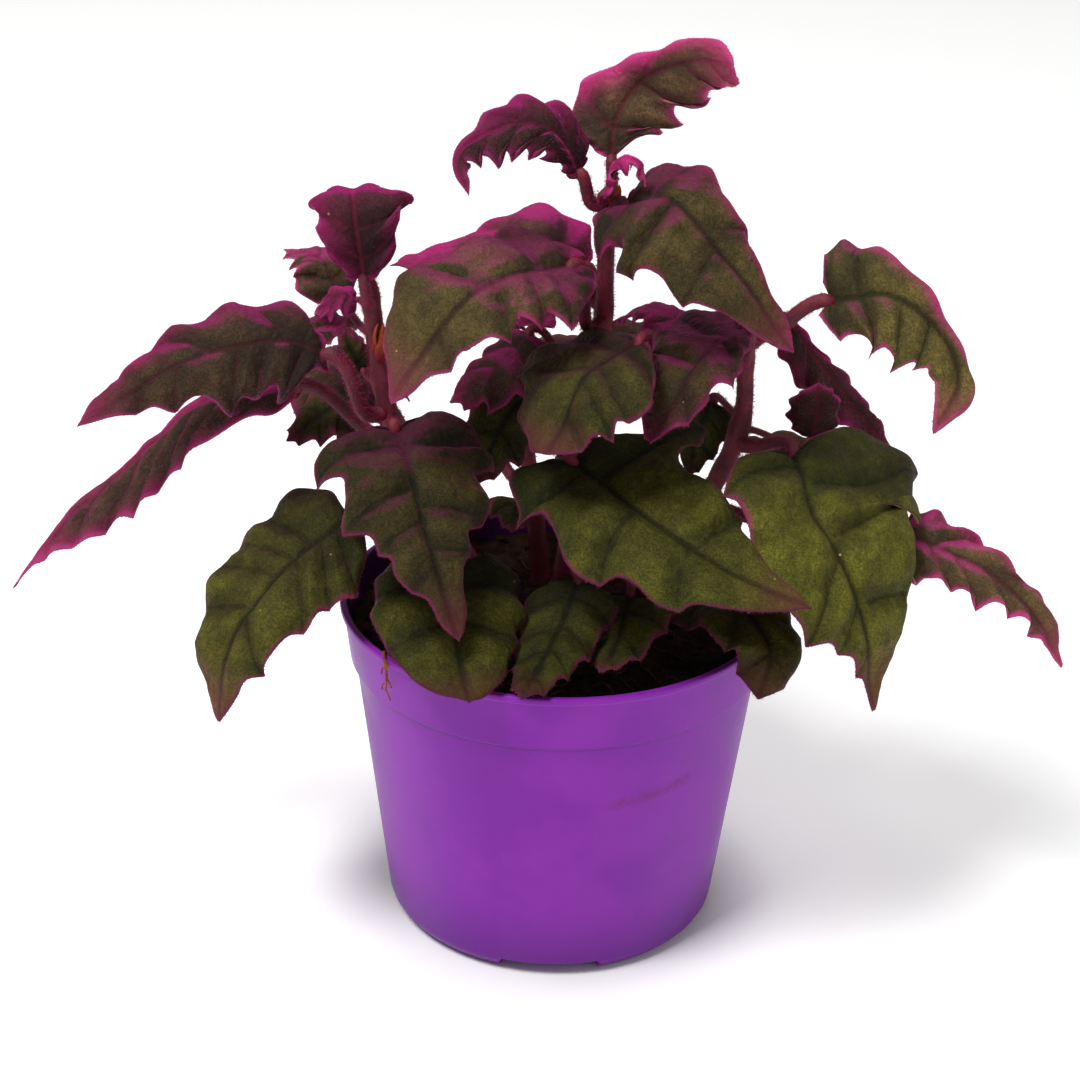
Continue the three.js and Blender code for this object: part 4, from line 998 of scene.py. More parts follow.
        right_edge=[(-1, 2), (-1, 8), (1, 15), (7, 22), (15, 27, 1), (18, 17.5), (22, 18), (28, 20.5),
            (34, 21, 1), (36, 14.5), (41, 14, 1), (43, 10.5), (47, 10.5), (52, 8, 1), (55, 4.5), (62, 3),
            (67, 0)],
    ),
    "left_9": dict(
        joint=118, left=22, right=30, roll=-12, fold=8, curl=25, rolled=35, teeth=4, age=0.9,
        tone_and_shade=0.9, flush=(0.8, 2),
        rib=[(-56, -16, 125), (-73, -30, 115), (-86, -40, 98), (-89, -42, 76)],
        taper=0.75,
        left_edge=[(0, 6), (6, 14), (10, 17), (15, 20, 1), (19, 18), (24, 18.5, 1), (27, 16),
            (34, 17, 1), (37, 14), (42, 12.5), (48, 12), (53, 13, 1), (55, 8), (62, 5), (71, 0)],
        right_edge=[(-1, 4), (-4, 14), (-3, 24), (2, 30), (8, 29), (14, 26, 1), (19, 25), (25, 24.5, 1),
            (29, 24), (34, 24.5, 1), (39, 21), (46, 19, 1), (51, 15.5), (59, 12.5), (66, 8), (71, 0)],
    ),
    "left_10": dict(
        joint=104, left=20, right=20, fold=5, curl=25, rolled=(35, 15), teeth=4, age=1,
        tone_and_shade=0.55, flush=0.5,
        rib=[(-29, -26, 116), (-27, -46, 109), (-22, -68, 98)],
        taper=0.5,
        right_edge=[(-2, 5), (-5, 12), (-2, 18), (9, 21), (18, 20.5), (24, 18.5), (32, 15), (40, 10),
            (46, 0)],
        left_edge=[(-2, 5), (-7, 13), (-5, 19), (4, 22), (15, 21.5), (23, 18.5), (29, 16), (38, 11),
            (44, 5), (46, 0)],
    ),
    "left_12": dict(
        joint=130, left=11, right=11, roll=-25, fold=5, age=0.7,
        tone_and_shade=0.6,
        rib=[(-54, 10, 144), (-63, 12, 144), (-75, 9, 135)],
    ),
    "tall_13": dict(
        joint=138, left=14, right=14, roll=-20, fold=5, age=0.8,
        tone_and_shade=0.55,
        rib=[(-4, 12, 150), (-14, 8, 146), (-23, -2, 128)],
    ),
    "right_1": dict(
        joint=170, left=14, right=20, roll=45, fold=0, curl=(25, 12), rolled=35, teeth=5, age=0.6,
        tone_and_shade=1.7, flush=(2, 0.8),
        rib=[(69, 0, 183), (84, -4, 186), (98, -8, 177), (103, -12, 165), (96, -20, 154)],
        taper=1.2,
        left_edge=[(-2, 5), (-2, 12), (-2, 20), (2, 22), (8, 18.5, 1), (13, 12.5), (20, 8.5), (26, 5.5),
            (34, 3), (43, 3), (49, 5), (56, 3), (63, 0)],
        right_edge=[(-3, 4), (-1, 7), (1, 9.5), (2, 11.5, 1), (4, 10.5), (8, 11.5), (13, 14.5),
            (15.5, 16.5), (17.5, 19, 1), (19, 16), (22, 13), (26, 13.5), (29, 15), (31, 17.5, 1),
            (32.5, 14), (35, 10.5), (37.5, 12.5, 1), (39, 8.5), (44, 8.5), (52, 6), (58, 3), (63, 0)],
    ),
    "right_2": dict(
        joint=168, left=9, right=12, roll=50, curl=25, rolled=60, teeth=4, age=0.1,
        tone_and_shade=0.8, flush=1.8,
        rib=[(62, 20, 168), (76, 22, 149), (95, 26, 125.5)],
        left_edge=[(0, 2), (9, 3), (20, 4), (30, 6, 1), (34, 4), (42, 6, 1), (45, 3), (51, 0)],
        right_edge=[(0, 5), (5, 8), (14, 8.5), (19, 9, 1), (22, 6.5), (31, 7.5, 1), (34, 4.5),
            (43, 5, 1), (46, 2), (51, 0)],
    ),
    "right_3": dict(
        joint=146, left=8, right=8, fold=0, age=0.1,
        tone_and_shade=0.9, flush=0.8,
        rib=[(68, 6, 141), (69, 10, 148), (69, 12, 155)],
        faces=(0.1, -1, 0.1),
        left_edge=[(0, 3), (2, 6.5), (6, 8.5), (11, 7), (15, 0)],
        right_edge=[(0, 3), (2, 6.5), (6, 8), (11, 7), (15, 0)],
    ),
    "right_4": dict(
        joint=164, left=16, right=20, roll=-7, curl=(25, 0), rolled=(60, 35), teeth=4, age=0.4,
        tone_and_shade=0.72, flush=(1.5, 2.5),
        rib=[(45, -14, 180), (33, -28, 176), (22, -40, 158)],
        left_edge=[(0, 4), (6, 7.5), (12, 10), (16, 12), (20, 14, 1), (22, 9), (27, 8.5), (31, 8),
            (35, 7.5, 1), (37, 4), (43, 0)],
        right_edge=[(-3, 3), (-9, 13), (-12, 24), (-8, 31), (-1, 30), (6, 25), (13, 23), (18, 20, 1),
            (23, 13), (30, 12), (36, 10), (41, 6), (43, 0)],
    ),
    "right_5": dict(
        joint=166, left=9, right=9, age=0.3,
        rib=[(34, 14, 170), (23, 22, 172), (13, 26, 165)],
    ),
    "right_6": dict(
        joint=143, left=36, right=27, roll=12, fold=5, curl=0, rolled=35, teeth=4, age=1,
        tone_and_shade=1.2, flush=0.9,
        rib=[(61, -14, 146), (66, -31, 135.5), (78, -41, 115.5), (83, -45, 85.5)],
        lobe=-0.15,
        left_edge=[(-2, 3), (-7, 10), (-14, 24), (-16, 36), (-12, 46), (-6, 52, 1), (2, 46), (12, 44),
            (21, 45), (29, 46, 1), (34, 39.5), (40, 35), (47, 31.5), (54, 30, 1), (57, 24), (62, 18),
            (69, 11), (74, 5.5), (78, 0)],
        right_edge=[(0, 5), (2, 13), (7, 19), (14, 25, 1), (16, 22), (20, 21.5), (24, 23.5), (30, 24.5),
            (36, 23.5), (45, 21), (52, 21, 1), (53, 13.5), (58, 10.5, 1), (60, 6), (66, 5, 1), (68, 2.5),
            (78, 0)],
    ),
    "right_7": dict(
        joint=124, left=10, right=13, roll=20, curl=(0, 25), rolled=60, teeth=4, age=0.4,
        tone_and_shade=1.8, flush=(2.2, 0.8),
        rib=[(93, -2, 117), (111, -8, 112), (127, -14, 102), (137, -18, 85)],
        left_edge=[(0, 14), (5, 15), (12, 12.5), (22, 10.5), (31, 7.5), (42, 7), (52, 6), (57, 4),
            (60, 0)],
        right_edge=[(0, 5), (4, 10), (8, 12.5), (9, 14.5, 1), (10.5, 11.5), (14, 8.5), (18, 9.5),
            (20, 11.5, 1), (21.5, 9.5), (25, 8), (27.5, 9.5), (29, 11.5, 1), (30.5, 8.5), (33, 5.5),
            (36.5, 5.5), (38.5, 7.5, 1), (40, 4.5), (43, 2.5), (46, 3), (47.5, 5.5, 1), (49, 2.5),
            (53, 1.5), (60, 0)],
    ),
    "right_8": dict(
        joint=149, left=10, right=10, age=1,
        tone_and_shade=0.5, flush=0.5,
        rib=[(40, 11, 149), (37, 13, 138), (35, 13, 125)],
    ),
    "right_9": dict(
        joint=106, left=15, right=15, fold=5, curl=15, age=1,
        tone_and_shade=0.55, flush=0.6,
        rib=[(39, -12, 103), (49, -35, 109), (55, -46, 104), (52, -52, 92)],
        taper=0.55,
    ),
    "right_10": dict(
        joint=134, left=19, right=19, teeth=4, age=0.8,
        rib=[(58, 16, 132), (74, 34, 128), (86, 50, 108)],
    ),
    "left_11": dict(
        joint=134, left=19, right=19, teeth=4, age=0.7,
        rib=[(-50, 18, 144), (-70, 38, 146), (-88, 58, 126)],
    ),
    "tall_12": dict(
        joint=144, left=19, right=19, teeth=4, age=0.7,
        rib=[(14, 16, 158), (26, 34, 162), (40, 54, 146)],
    ),
    "back_1": dict(
        joint=142, left=20, right=20, teeth=4, age=0.5,
        rib=[(-18, 56, 152), (-34, 72, 152), (-48, 88, 132)],
    ),
    "back_2": dict(
        joint=138, left=20, right=20, teeth=4, age=0.6,
        rib=[(-4, 60, 142), (6, 82, 140), (12, 102, 118)],
    ),
    "back_3": dict(
        joint=144, left=9, right=9, age=0,
        rib=[(-9, 55, 153), (-7, 61, 162), (1, 68, 166)],
    ),
    "back_4": dict(
        joint=112, left=21, right=21, fold=5, curl=18, teeth=4, age=0.9,
        rib=[(-22, 52, 116), (-40, 68, 112), (-56, 82, 92)],
    ),
    "back_5": dict(
        joint=106, left=21, right=21, fold=5, curl=18, teeth=4, age=0.9,
        rib=[(6, 48, 110), (26, 62, 108), (44, 76, 90)],
    ),
    "back_6": dict(
        joint=104, left=11, right=11, fold=5, curl=18, age=0.9,
        rib=[(-9, 26, 110), (-12, 17, 115), (-13, 7, 110)],
    ),
}
BLADE_THICKNESS = 0.5
EDGE_THICKNESS = 0.22
USUAL_LENGTH = 60
MOST_SIZE = 1.25
FULLNESS = 1.2
FOOT_WIDTH = 0.4
FOOT_LENGTH = 0.07
ROW_SLANT = 0.6
FIRST_TOOTH = 0.03
TOOTHED_LENGTH = 0.85
HOLLOW_PLACE = 0.4
TIP_PLACE = 0.75
TOOTH_PACE = 0.92
TOOTH_DEPTHS = (0.75, 1.25)
HOOK_LENGTHS = (0.7, 1.2)
HOOK_SLANT = 0.8
YOUNG_BITE = 0.2
OLD_BITE = 0.1
YOUNG_HOOK = 3.0
OLD_HOOK = 0.8
YOUNG_ROLL = 65
OLD_ROLL = 30
ROLL_REACH = (0.66, 1.04)
HOOK_TURN = 110
VEIN_PACE = 1.8
VEIN_ARCH = 1.3
VEIN_SPREAD = 0.22
FIRST_VEIN = 0.06
LAST_VEIN = 0.92
ROW_STEP = 0.9
LAST_ROW = 0.992
COLUMN_STEP = 1.35
EDGE_STEP = 0.35
TOOTH_SIDE = 0.7
SOFT_RUN = 6.0
NARROWEST = 1.2
PILLOW_HEIGHT = 1.1
OLD_PILLOW = 0.6
PILLOW_RUN = 3.2
PILLOW_FOOT = 3.0
FURROW_DEPTH = 0.3
FURROW_WIDTH = 1.1
MIDRIB_DEPTH = 0.9
MIDRIB_WIDTH = 1.6
FRILL_HEIGHT = 1.2
YOUNG_FRILL = 0.6
KEEL_HEIGHT = 0.35
KEEL_WIDTH = 0.7
YOUNG_FLUSH = 4.0
OLD_FLUSH = 1.0
FLUSH_FALL = 1.6
FRINGE_SPACING = 0.21
FRINGE_LENGTH = 0.8
FRINGE_LEAN = 0.4
LEAF_HAIR_THICKNESS = 0.8 * HAIR_THICKNESS
LEAF_HAIR_LENGTHS = (0.4, 1.15)
NAP_AGE = 0.5
NAP_LENGTH = 0.75
NAP_LENGTHS = (0.4, 1.2)
NAP_LEAN = 0.45
NAP_PER_MM2 = 1.05
NAP_REACH = 5.0
THINNEST_STALK = 0.8
THICKEST_STALK = 1.9
STALK_PER_LENGTH = 0.022
STALK_SIDES = 10
STALK_HAIRS_PER_MM2 = 2.4
STALK_HAIR_LENGTH = 1.1
RIB_STEPS = 60
RIB_SHARE = 0.93
LEAF_SEED = 200
# The blade's waves, bumps and wrinkles: how far apart they are, and how high.
UNEVEN = {13: 1.5, 4.2: 0.7, 1.8: 0.2}

YOUNG_DARK = "#1e0c15"
YOUNG_LIGHT = "#503030"
OLD_DARK = "#14170b"
OLD_LIGHT = "#66641f"
YOUNG_VEIN = "#701c30"
OLD_VEIN = "#15170a"
# The purple edge: partly the leaf's own colour and partly a painted sheen of its hairs.
EDGE_AND_SHEEN_MAGENTA = "#961c5a"
# Painted sheen: the magenta of the standing hairs on young blades where they face up.
PAINTED_SHEEN_MAGENTA = "#b01a74"
RIM_PINK = "#a43a70"
OLD_RIM = "#5c2a3c"
YOUNG_HAIR = "#c0347e"
OLD_HAIR = "#8a3c5c"
YOUNG_TIP = "#8a2c50"
OLD_TIP = "#6a3430"
UNDER_OLIVE = "#7a6546"
UNDER_PURPLE = "#93415f"
UNDER_VEIN = "#5a1c2c"
PALE_SPECK = "#b59a5c"
SHEEN_PINK = "#e04aa0"
NAP_LIGHT = (0.45, 1.1)
PATCH_LIGHT = (0.55, 0.95)
# Painted highlight: lighter on the pillows between the side veins.
BETWEEN_HIGHLIGHT = (0.68, 1.06)
# Darker towards the foot of the blade: partly its own darker colour and partly painted shade.
BLADE_FOOT_DARK_AND_SHADE = (0.35, 1)
# Painted shade: darker in the furrows over the veins and along the fine net between them.
NET_SHARE = 0.4
SUNK_SHADE = 0.45
LINE_SHARE = 0.6
PAINTED_SHEEN_SLOPE = (0.78, 1.0)
MOST_PAINTED_SHEEN = 0.8
TIP_SHARE = 0.6
RIM_SHARE = 0.75
SPECK_SHARE = 0.7


def between(first, second, share):
    """The linear colour a share of the way from one code to another."""
    return tuple(a + (b - a) * share for a, b in zip(paint(first), paint(second)))


def make_blade_group():
    """Where the furrows over the veins, the fine net between them and the rim of a blade are. Blade is the
    distance in millimetres from the midrib, the edge and the nearest side vein."""
    group, given, asked = new_group(
        "blade_pattern",
        {"Blade": "Vector", "Place": "Vector"},
        {name: "Float" for name in ("Furrows", "Lines", "Net", "Rim", "Nap", "Between", "Height")},
    )
    place = given["Place"]
    blade = parted(group, given["Blade"])
    warp = add(group, "TexNoise", {"Vector": place, "Scale": 0.22, "Detail": 2.0}).outputs
    warped = vector(group, "ADD", {0: place, 1: vector(group, "SCALE", {0: warp["Color"], "Scale": 3.0})})
    side_vein = combine(group, "ADD", blade["Z"], ramp(group, warp["Fac"], 0.3, 0.7, -0.5, 0.5))
    furrow = ramp(group, blade["X"], 0.3, 2.2, 1, 0)
    furrows = combine(group, "MAXIMUM", furrow, ramp(group, side_vein, 0.1, 1.8, 0.7, 0))
    line = ramp(group, blade["X"], 0.1, 1.1, 1, 0)
    lines = combine(group, "MAXIMUM", line, ramp(group, side_vein, 0, 0.8, 0.65, 0))
    cells = add(group, "TexVoronoi", {"Vector": warped, "Scale": 0.3}, feature="DISTANCE_TO_EDGE").outputs
    nap = add(group, "TexNoise", {"Vector": place, "Scale": 1.9, "Detail": 3.0, "Roughness": 0.75}).outputs
    pillow = ramp(group, cells["Distance"], 0.0, 0.5, 0, 1)
    height = combine(group, "ADD", product(group, pillow, 0.5), product(group, nap["Fac"], 0.3))
    give(group, asked, {
        "Furrows": furrows,
        "Lines": lines,
        "Net": ramp(group, cells["Distance"], 0.0, 0.22, 1, 0),
        "Rim": ramp(group, blade["Y"], 0.2, 0.9, 1, 0),
        "Nap": ramp(group, nap["Fac"], 0.3, 0.7),
        "Between": ramp(group, side_vein, 1.0, 5.5),
        "Height": combine(group, "SUBTRACT", height, product(group, lines, 0.4)),
    })
    return group


BLADE_PATTERN = make_blade_group()


def velvet_light(tree, pattern, patches, along):
    """How light each place is: uneven in its nap and patches, darker at the foot (partly its own colour,
    partly painted shade), with painted shade in every furrow and along the fine net, and a painted highlight
    on the pillows between the side veins.
    """
    sunk = combine(tree, "MAXIMUM", pattern["Furrows"], product(tree, pattern["Net"], NET_SHARE))
    return product(
        tree,
        ramp(tree, pattern["Nap"], 0, 1, *NAP_LIGHT),
        ramp(tree, patches, 0, 1, *PATCH_LIGHT),
        ramp(tree, pattern["Between"], 0, 1, *BETWEEN_HIGHLIGHT),
        ramp(tree, along, 0.0, 0.4, *BLADE_FOOT_DARK_AND_SHADE),
        combine(tree, "SUBTRACT", 1.0, product(tree, sunk, SUNK_SHADE)),
    )


def painted_sheen_share(tree, nap, age):
    """A painted sheen: the magenta glow of the standing hairs, painted into the colour of a young blade where
    it lies level and faces up.
    """
    upward = parted(tree, add(tree, "NewGeometry").outputs["Normal"])["Z"]
    level = ramp(tree, upward, *PAINTED_SHEEN_SLOPE, 0, min(MOST_PAINTED_SHEEN, (1 - age) ** 1.8))
    return product(tree, level, ramp(tree, nap, 0, 1, 0.75, 1))


def underside(tree, pattern, flush, age):
    share = ramp(tree, flush, 0, 1, 0.25 + 0.4 * (1 - age), 0.9)
    colour = blend(tree, share, paint(UNDER_OLIVE), paint(UNDER_PURPLE))
    return blend(tree, product(tree, pattern["Lines"], LINE_SHARE), colour, paint(UNDER_VEIN))


@cache
def leaf_velvet(age):
    """The blade's finish at an age: purple velvet when young, quilted green with a purple rim when old. Part
    is the share of the way to the tip, the underside, and how far the purple of the edge has spread."""
    finish, tree, shader, place = new_finish("leaf_velvet_" + str(age))
    blade = add(tree, "Attribute", attribute_name="blade").outputs["Vector"]
    part = parted(tree, add(tree, "Attribute", attribute_name="part").outputs["Vector"])
    along, under, flush = part["X"], part["Y"], part["Z"]
    pattern = place_group(tree, BLADE_PATTERN, {"Blade": blade, "Place": place})
    patches = place_group(tree, GRAIN, {"Place": place, "Coarse": 7.0, "Fine": 2.2})["Patches"]
    specks = place_group(tree, SPECKS, {"Place": place, "Spacing": 6.0, "Size": 0.35, "Share": 0.12})
    light = velvet_light(tree, pattern, patches, along)
    dark, pale = between(YOUNG_DARK, OLD_DARK, age**0.6), between(YOUNG_LIGHT, OLD_LIGHT, age**1.1)
    vein = between(YOUNG_VEIN, OLD_VEIN, min(1, 1.7 * age) ** 0.6)
    colour = blend(tree, light, dark, pale)
    for share, hue in (
        (product(tree, pattern["Lines"], LINE_SHARE), vein),
        # The purple edge, partly its own colour and partly painted sheen.
        (product(tree, flush, ramp(tree, patches, 0, 1, 0.75, 1)), paint(EDGE_AND_SHEEN_MAGENTA)),
        # Painted sheen on the up-facing parts of young blades.
        (painted_sheen_share(tree, pattern["Nap"], age), paint(PAINTED_SHEEN_MAGENTA)),
        (ramp(tree, along, 0.7, 1.0, 0, TIP_SHARE), between(YOUNG_TIP, OLD_TIP, age)),
        (product(tree, pattern["Rim"], RIM_SHARE), between(RIM_PINK, OLD_RIM, age)),
        (product(tree, specks["Specks"], SPECK_SHARE), paint(PALE_SPECK)),
        (under, underside(tree, pattern, flush, age)),
    ):
        colour = blend(tree, share, colour, hue)
    # Each leaf's colour is scaled by its tone: partly its own tone, partly painted light on lit leaves and
    # painted shade on shaded ones.
    tone_and_shade = add(tree, "Attribute", attribute_name="tone_and_shade").outputs["Fac"]
    give(tree, shader, {
        "Base Color": vector(tree, "SCALE", {0: colour, "Scale": tone_and_shade}),
        "Roughness": ramp(tree, pattern["Nap"], 0, 1, 0.8, 0.6),
        "Normal": relief_normal(tree, pattern["Height"], 0.8, 0.8),
        "Specular IOR Level": 0.12,
        "Sheen Weight": 0.04 + 0.7 * (1 - age),
        "Sheen Roughness": 0.3,
        "Sheen Tint": paint(SHEEN_PINK),
    })
    return finish


def smoothstep(x, low, high):
    t = np.clip((x - low) / (high - low), 0, 1)
    return t * t * (3 - 2 * t)


def size_of(length):
    """How strong the relief of a blade is for its length."""
    return min(MOST_SIZE, math.sqrt(length / USUAL_LENGTH))


def leaf_lines(stem, leaf):
    """The stalk's and the midrib's middle lines, and the stalk's direction out of the stem."""
    line = stem_line(stem, 201)
    last = len(line) - 1
    at = min(int(np.searchsorted(line[:, 2], leaf["joint"])), last)
    up = unit(np.gradient(line, axis=0))[at]
    radius = (stem["thick"] + (stem["slim"] - stem["thick"]) * at / last) / 2
    rib = smooth_line(leaf["rib"], 161)
    out = rib[0] - line[at]
    out = unit(out - up * (out @ up))
    start = line[at] + out * radius
    reach = np.linalg.norm(rib[0] - start) * 0.4
    handle = start + out * reach
    landing = rib[0] - unit(rib[1] - rib[0]) * reach
    t = np.linspace(0, 1, 40)[:, None]
    stalk = start * (1 - t) ** 3 + handle * 3 * t * (1 - t) ** 2
    stalk = stalk + landing * 3 * t**2 * (1 - t) + rib[0] * t**3
    return np.vstack([start - out * radius * 0.6, stalk]), rib, out


def blade_facing(leaf, rib, out):
    """The direction that the top of the blade faces at the middle of its rib."""
    half = len(rib) // 2
    tangent = unit(rib[half + 1] - rib[half - 1])
    upward = np.array(leaf.get("faces", np.array([0, 0, 1]) - 0.2 * out), float)
    upward = unit(upward - tangent * (upward @ tangent))
    roll = math.radians(leaf["roll"])
    return upward * math.cos(roll) + np.cross(tangent, upward) * math.sin(roll)


def edge_point(leaf, wide, length, u, reach, hook=0.0):
    """A point of a regular edge: a share of the blade's length along, and a share of its width out."""
    shape = FULLNESS * (1 - u) ** leaf["taper"] * (1 - (1 - FOOT_WIDTH) * math.exp(-u / FOOT_LENGTH))
    out = shape * wide * reach + hook * min(1, shape * 2)
    slant = leaf["lobe"] + (ROW_SLANT - leaf["lobe"]) * float(smoothstep(u, 0, 0.5))
    return u * length + slant * out + hook * HOOK_SLANT, out


def regular_edge(leaf, wide, length, chance):
    """An edge from the foot of the blade to its tip. A third value marks the tip of a tooth."""
    young = 1 - leaf["age"]
    bite = OLD_BITE + (YOUNG_BITE - OLD_BITE) * young
    hook = (OLD_HOOK + (YOUNG_HOOK - OLD_HOOK) * young**1.3) * size_of(length)
    points = [edge_point(leaf, wide, length, 0, 0.7)]
    starts = FIRST_TOOTH + TOOTHED_LENGTH * (np.arange(leaf["teeth"] + 1) / leaf["teeth"]) ** TOOTH_PACE
    for k, (low, high) in enumerate(zip(starts, starts[1:])):
        depth = bite * chance.uniform(*TOOTH_DEPTHS)
        points.append(edge_point(leaf, wide, length, low, 1 - depth * min(k, 1)))
        points.append(edge_point(leaf, wide, length, low + HOLLOW_PLACE * (high - low), 1 - 0.2 * depth))
        tip = low + TIP_PLACE * (high - low)
        points.append((*edge_point(leaf, wide, length, tip, 1, hook * chance.uniform(*HOOK_LENGTHS)), 1))
    points.append(edge_point(leaf, wide, length, starts[-1], 1 - bite))
    return [*points, (length, 0)]


def edge_line(points):
    """A fine line through the points of an edge, round at the plain ones and pointed at the teeth. It comes
    with the share of the edge at each of its points and at each tooth, and with its length."""
    pieces, piece = [], [points[0]]
    for point in points[1:]:
        piece.append(point)
        if len(point) > 2 or point is points[-1]:
            flat = np.array([(p[0], p[1], 0) for p in piece], float)
            pieces.append(smooth_line(flat, max(4, int(run_along(flat)[-1] / EDGE_STEP)))[:, :2])
            piece = [point]
    line = np.vstack([pieces[0], *[p[1:] for p in pieces[1:]]])
    run = run_along(line)
    ends = np.cumsum([len(p) - 1 for p in pieces])
    return line, run / run[-1], run[ends[:-1]] / run[-1], run[-1]


def each_side(value, side):
    """A value that a leaf may give once, or for its left and its right side."""
    return np.broadcast_to(np.asarray(value, float), 2)[(np.asarray(side) > 0).astype(int)]


def rolled_off(t, turn, centre):
    """How far across and down each point lies when the blade bends away from its rib by turn."""
    across, drop = np.zeros_like(t), np.zeros_like(t)
    for order in (slice(centre, None), slice(centre, None, -1)):
        steps = np.diff(t[:, order], axis=1)
        angle = (turn[:, order][:, 1:] + turn[:, order][:, :-1]) / 2
        across[:, order][:, 1:] = np.cumsum(steps * np.cos(angle), axis=1)
        drop[:, order][:, 1:] = np.cumsum(steps * np.sin(angle), axis=1)
    return across, drop


def bent(leaf, rib, upward, length, side, s, t, reach, wide):
    """Where points of the flat blade lie, and which way its top faces there. They are s along the midrib and
    t out from it. Reach is 1 at the edge, and more in a tooth."""
    place = np.clip(s / length, 0, 1) * (len(rib) - 1)
    low = np.minimum(place.astype(int), len(rib) - 2)
    part = (place - low)[..., None]
    lines = (rib, *carried(rib, upward, len(rib) // 2))
    middle, tangent, face = (line[low] * (1 - part) + line[low + 1] * part for line in lines)
    tangent, face = unit(tangent), unit(face)
    middle = middle + tangent * (s - np.clip(s, 0, length))[..., None]
    beside = np.cross(tangent, face)
    young = 1 - leaf["age"]
    rolled = leaf.get("rolled", OLD_ROLL + (YOUNG_ROLL - OLD_ROLL) * young)
    fold, curl, roll = (np.radians(each_side(value, side)) for value in (leaf["fold"], leaf["curl"], rolled))
    turn = fold + curl * (t / wide) ** 2 + roll * smoothstep(reach, *ROLL_REACH)
    turn = turn + math.radians(HOOK_TURN) * young * np.clip(reach - 1.0, 0, 0.5)
    across, drop = rolled_off(t, turn, t.shape[1] // 2)
    normal = face * np.cos(turn)[..., None] + beside * (side * np.sin(turn))[..., None]
    return middle + beside * (side * across)[..., None] - face * drop[..., None], normal


def blade_rows(edges):
    """The shares of the edge at which the blade has a row of points. Three of them meet at each tooth."""
    rows = [np.linspace(0, LAST_ROW, int(max(edge[3] for edge in edges) / ROW_STEP) + 8)]
    for _, _, tips, run in edges:
        rows += [tips, tips - TOOTH_SIDE / run, tips + TOOTH_SIDE / run]
    rows = np.unique(np.round(np.clip(np.concatenate(rows), 0, LAST_ROW), 4))
    return rows[np.concatenate([[True], np.diff(rows) > 0.002])]


def at_rows(rows, edge):
    """For each row, how far along and out the edge lies, how far out it would lie without its teeth, and how
    large a share of the edge away the nearest side vein ends."""
    line, share, tips, _ = edge
    window = 2 * int(SOFT_RUN / EDGE_STEP) + 1
    padded = np.pad(line[:, 1], window // 2, mode="edge")
    soft = np.convolve(padded, np.ones(window) / window, mode="valid")
    stops = np.concatenate([[FIRST_VEIN], tips, [LAST_VEIN]])
    ends = []
    for a, b in zip(stops, stops[1:]):
        ends.append(np.linspace(a, b, max(2, int((b - a) / VEIN_SPREAD) + 1))[:-1])
    vein = np.min(np.abs(rows[:, None] - np.concatenate(ends)), axis=1)
    return [*(np.interp(rows, share, values) for values in (*line.T, soft)), vein]


def noise_over(s, t, spacing, seed):
    """Smooth noise over the flat blade, with its hills about a spacing apart."""
    places = zip((s / spacing).ravel(), (t / spacing).ravel())
    return np.array([noise.noise(Vector((a, b, seed))) for a, b in places]).reshape(t.shape)


def blade_relief(leaf, size, u, v, t, vein, filled, noises, seed):
    """How far the blade stands out: in pillows between its furrows, uneven, and frilled at the edge."""
    age, inner = leaf["age"], 1 - v**5
    relief = (PILLOW_HEIGHT + OLD_PILLOW * age) * size * (1 - bell(vein, PILLOW_RUN))
    relief = relief * (1 - bell(t, PILLOW_FOOT)) * inner * smoothstep(filled, 0.1, 0.7)
    relief = relief - FURROW_DEPTH * bell(vein, FURROW_WIDTH) * inner
    relief = relief - MIDRIB_DEPTH * size * bell(t, MIDRIB_WIDTH) * smoothstep(1 - u, 0, 0.2)
    stiff = 0.15 + 0.85 * smoothstep(t, 0, 4)
    waves, bumps, fine = (height * values for height, values in zip(UNEVEN.values(), noises))
    relief = relief + (waves + (bumps + fine) * stiff) * (0.4 + 0.6 * inner)
    frill = (FRILL_HEIGHT + YOUNG_FRILL * (1 - age)) * size
    frill = frill * np.sin(2 * np.pi * u * (leaf["teeth"] + 1.5) + seed)
    return relief + frill * v**3 * np.clip(filled, 0, 1)


def purple_edge_and_sheen(leaf, u, edge, side, ragged):
    """How purple each place is: most at the edge, and everywhere along the stretch of its blush. It is partly
    the leaf's own purple edge and partly a painted sheen of its hairs, set wider on one side or the other
    leaf by leaf.
    """
    age = leaf["age"]
    spread = each_side(leaf.get("flush", YOUNG_FLUSH * (1 - age) + OLD_FLUSH * age), side)
    spread = spread * (1 - 0.6 * min(2 * age, 1) * smoothstep(u, 0.35, 0.8))
    flush = np.exp(-((np.maximum(edge, 0) / np.maximum(spread * ragged, 0.1)) ** FLUSH_FALL))
    return np.maximum(flush, 0.9 * smoothstep(u, *leaf.get("blush", (1.0, 1.1))))


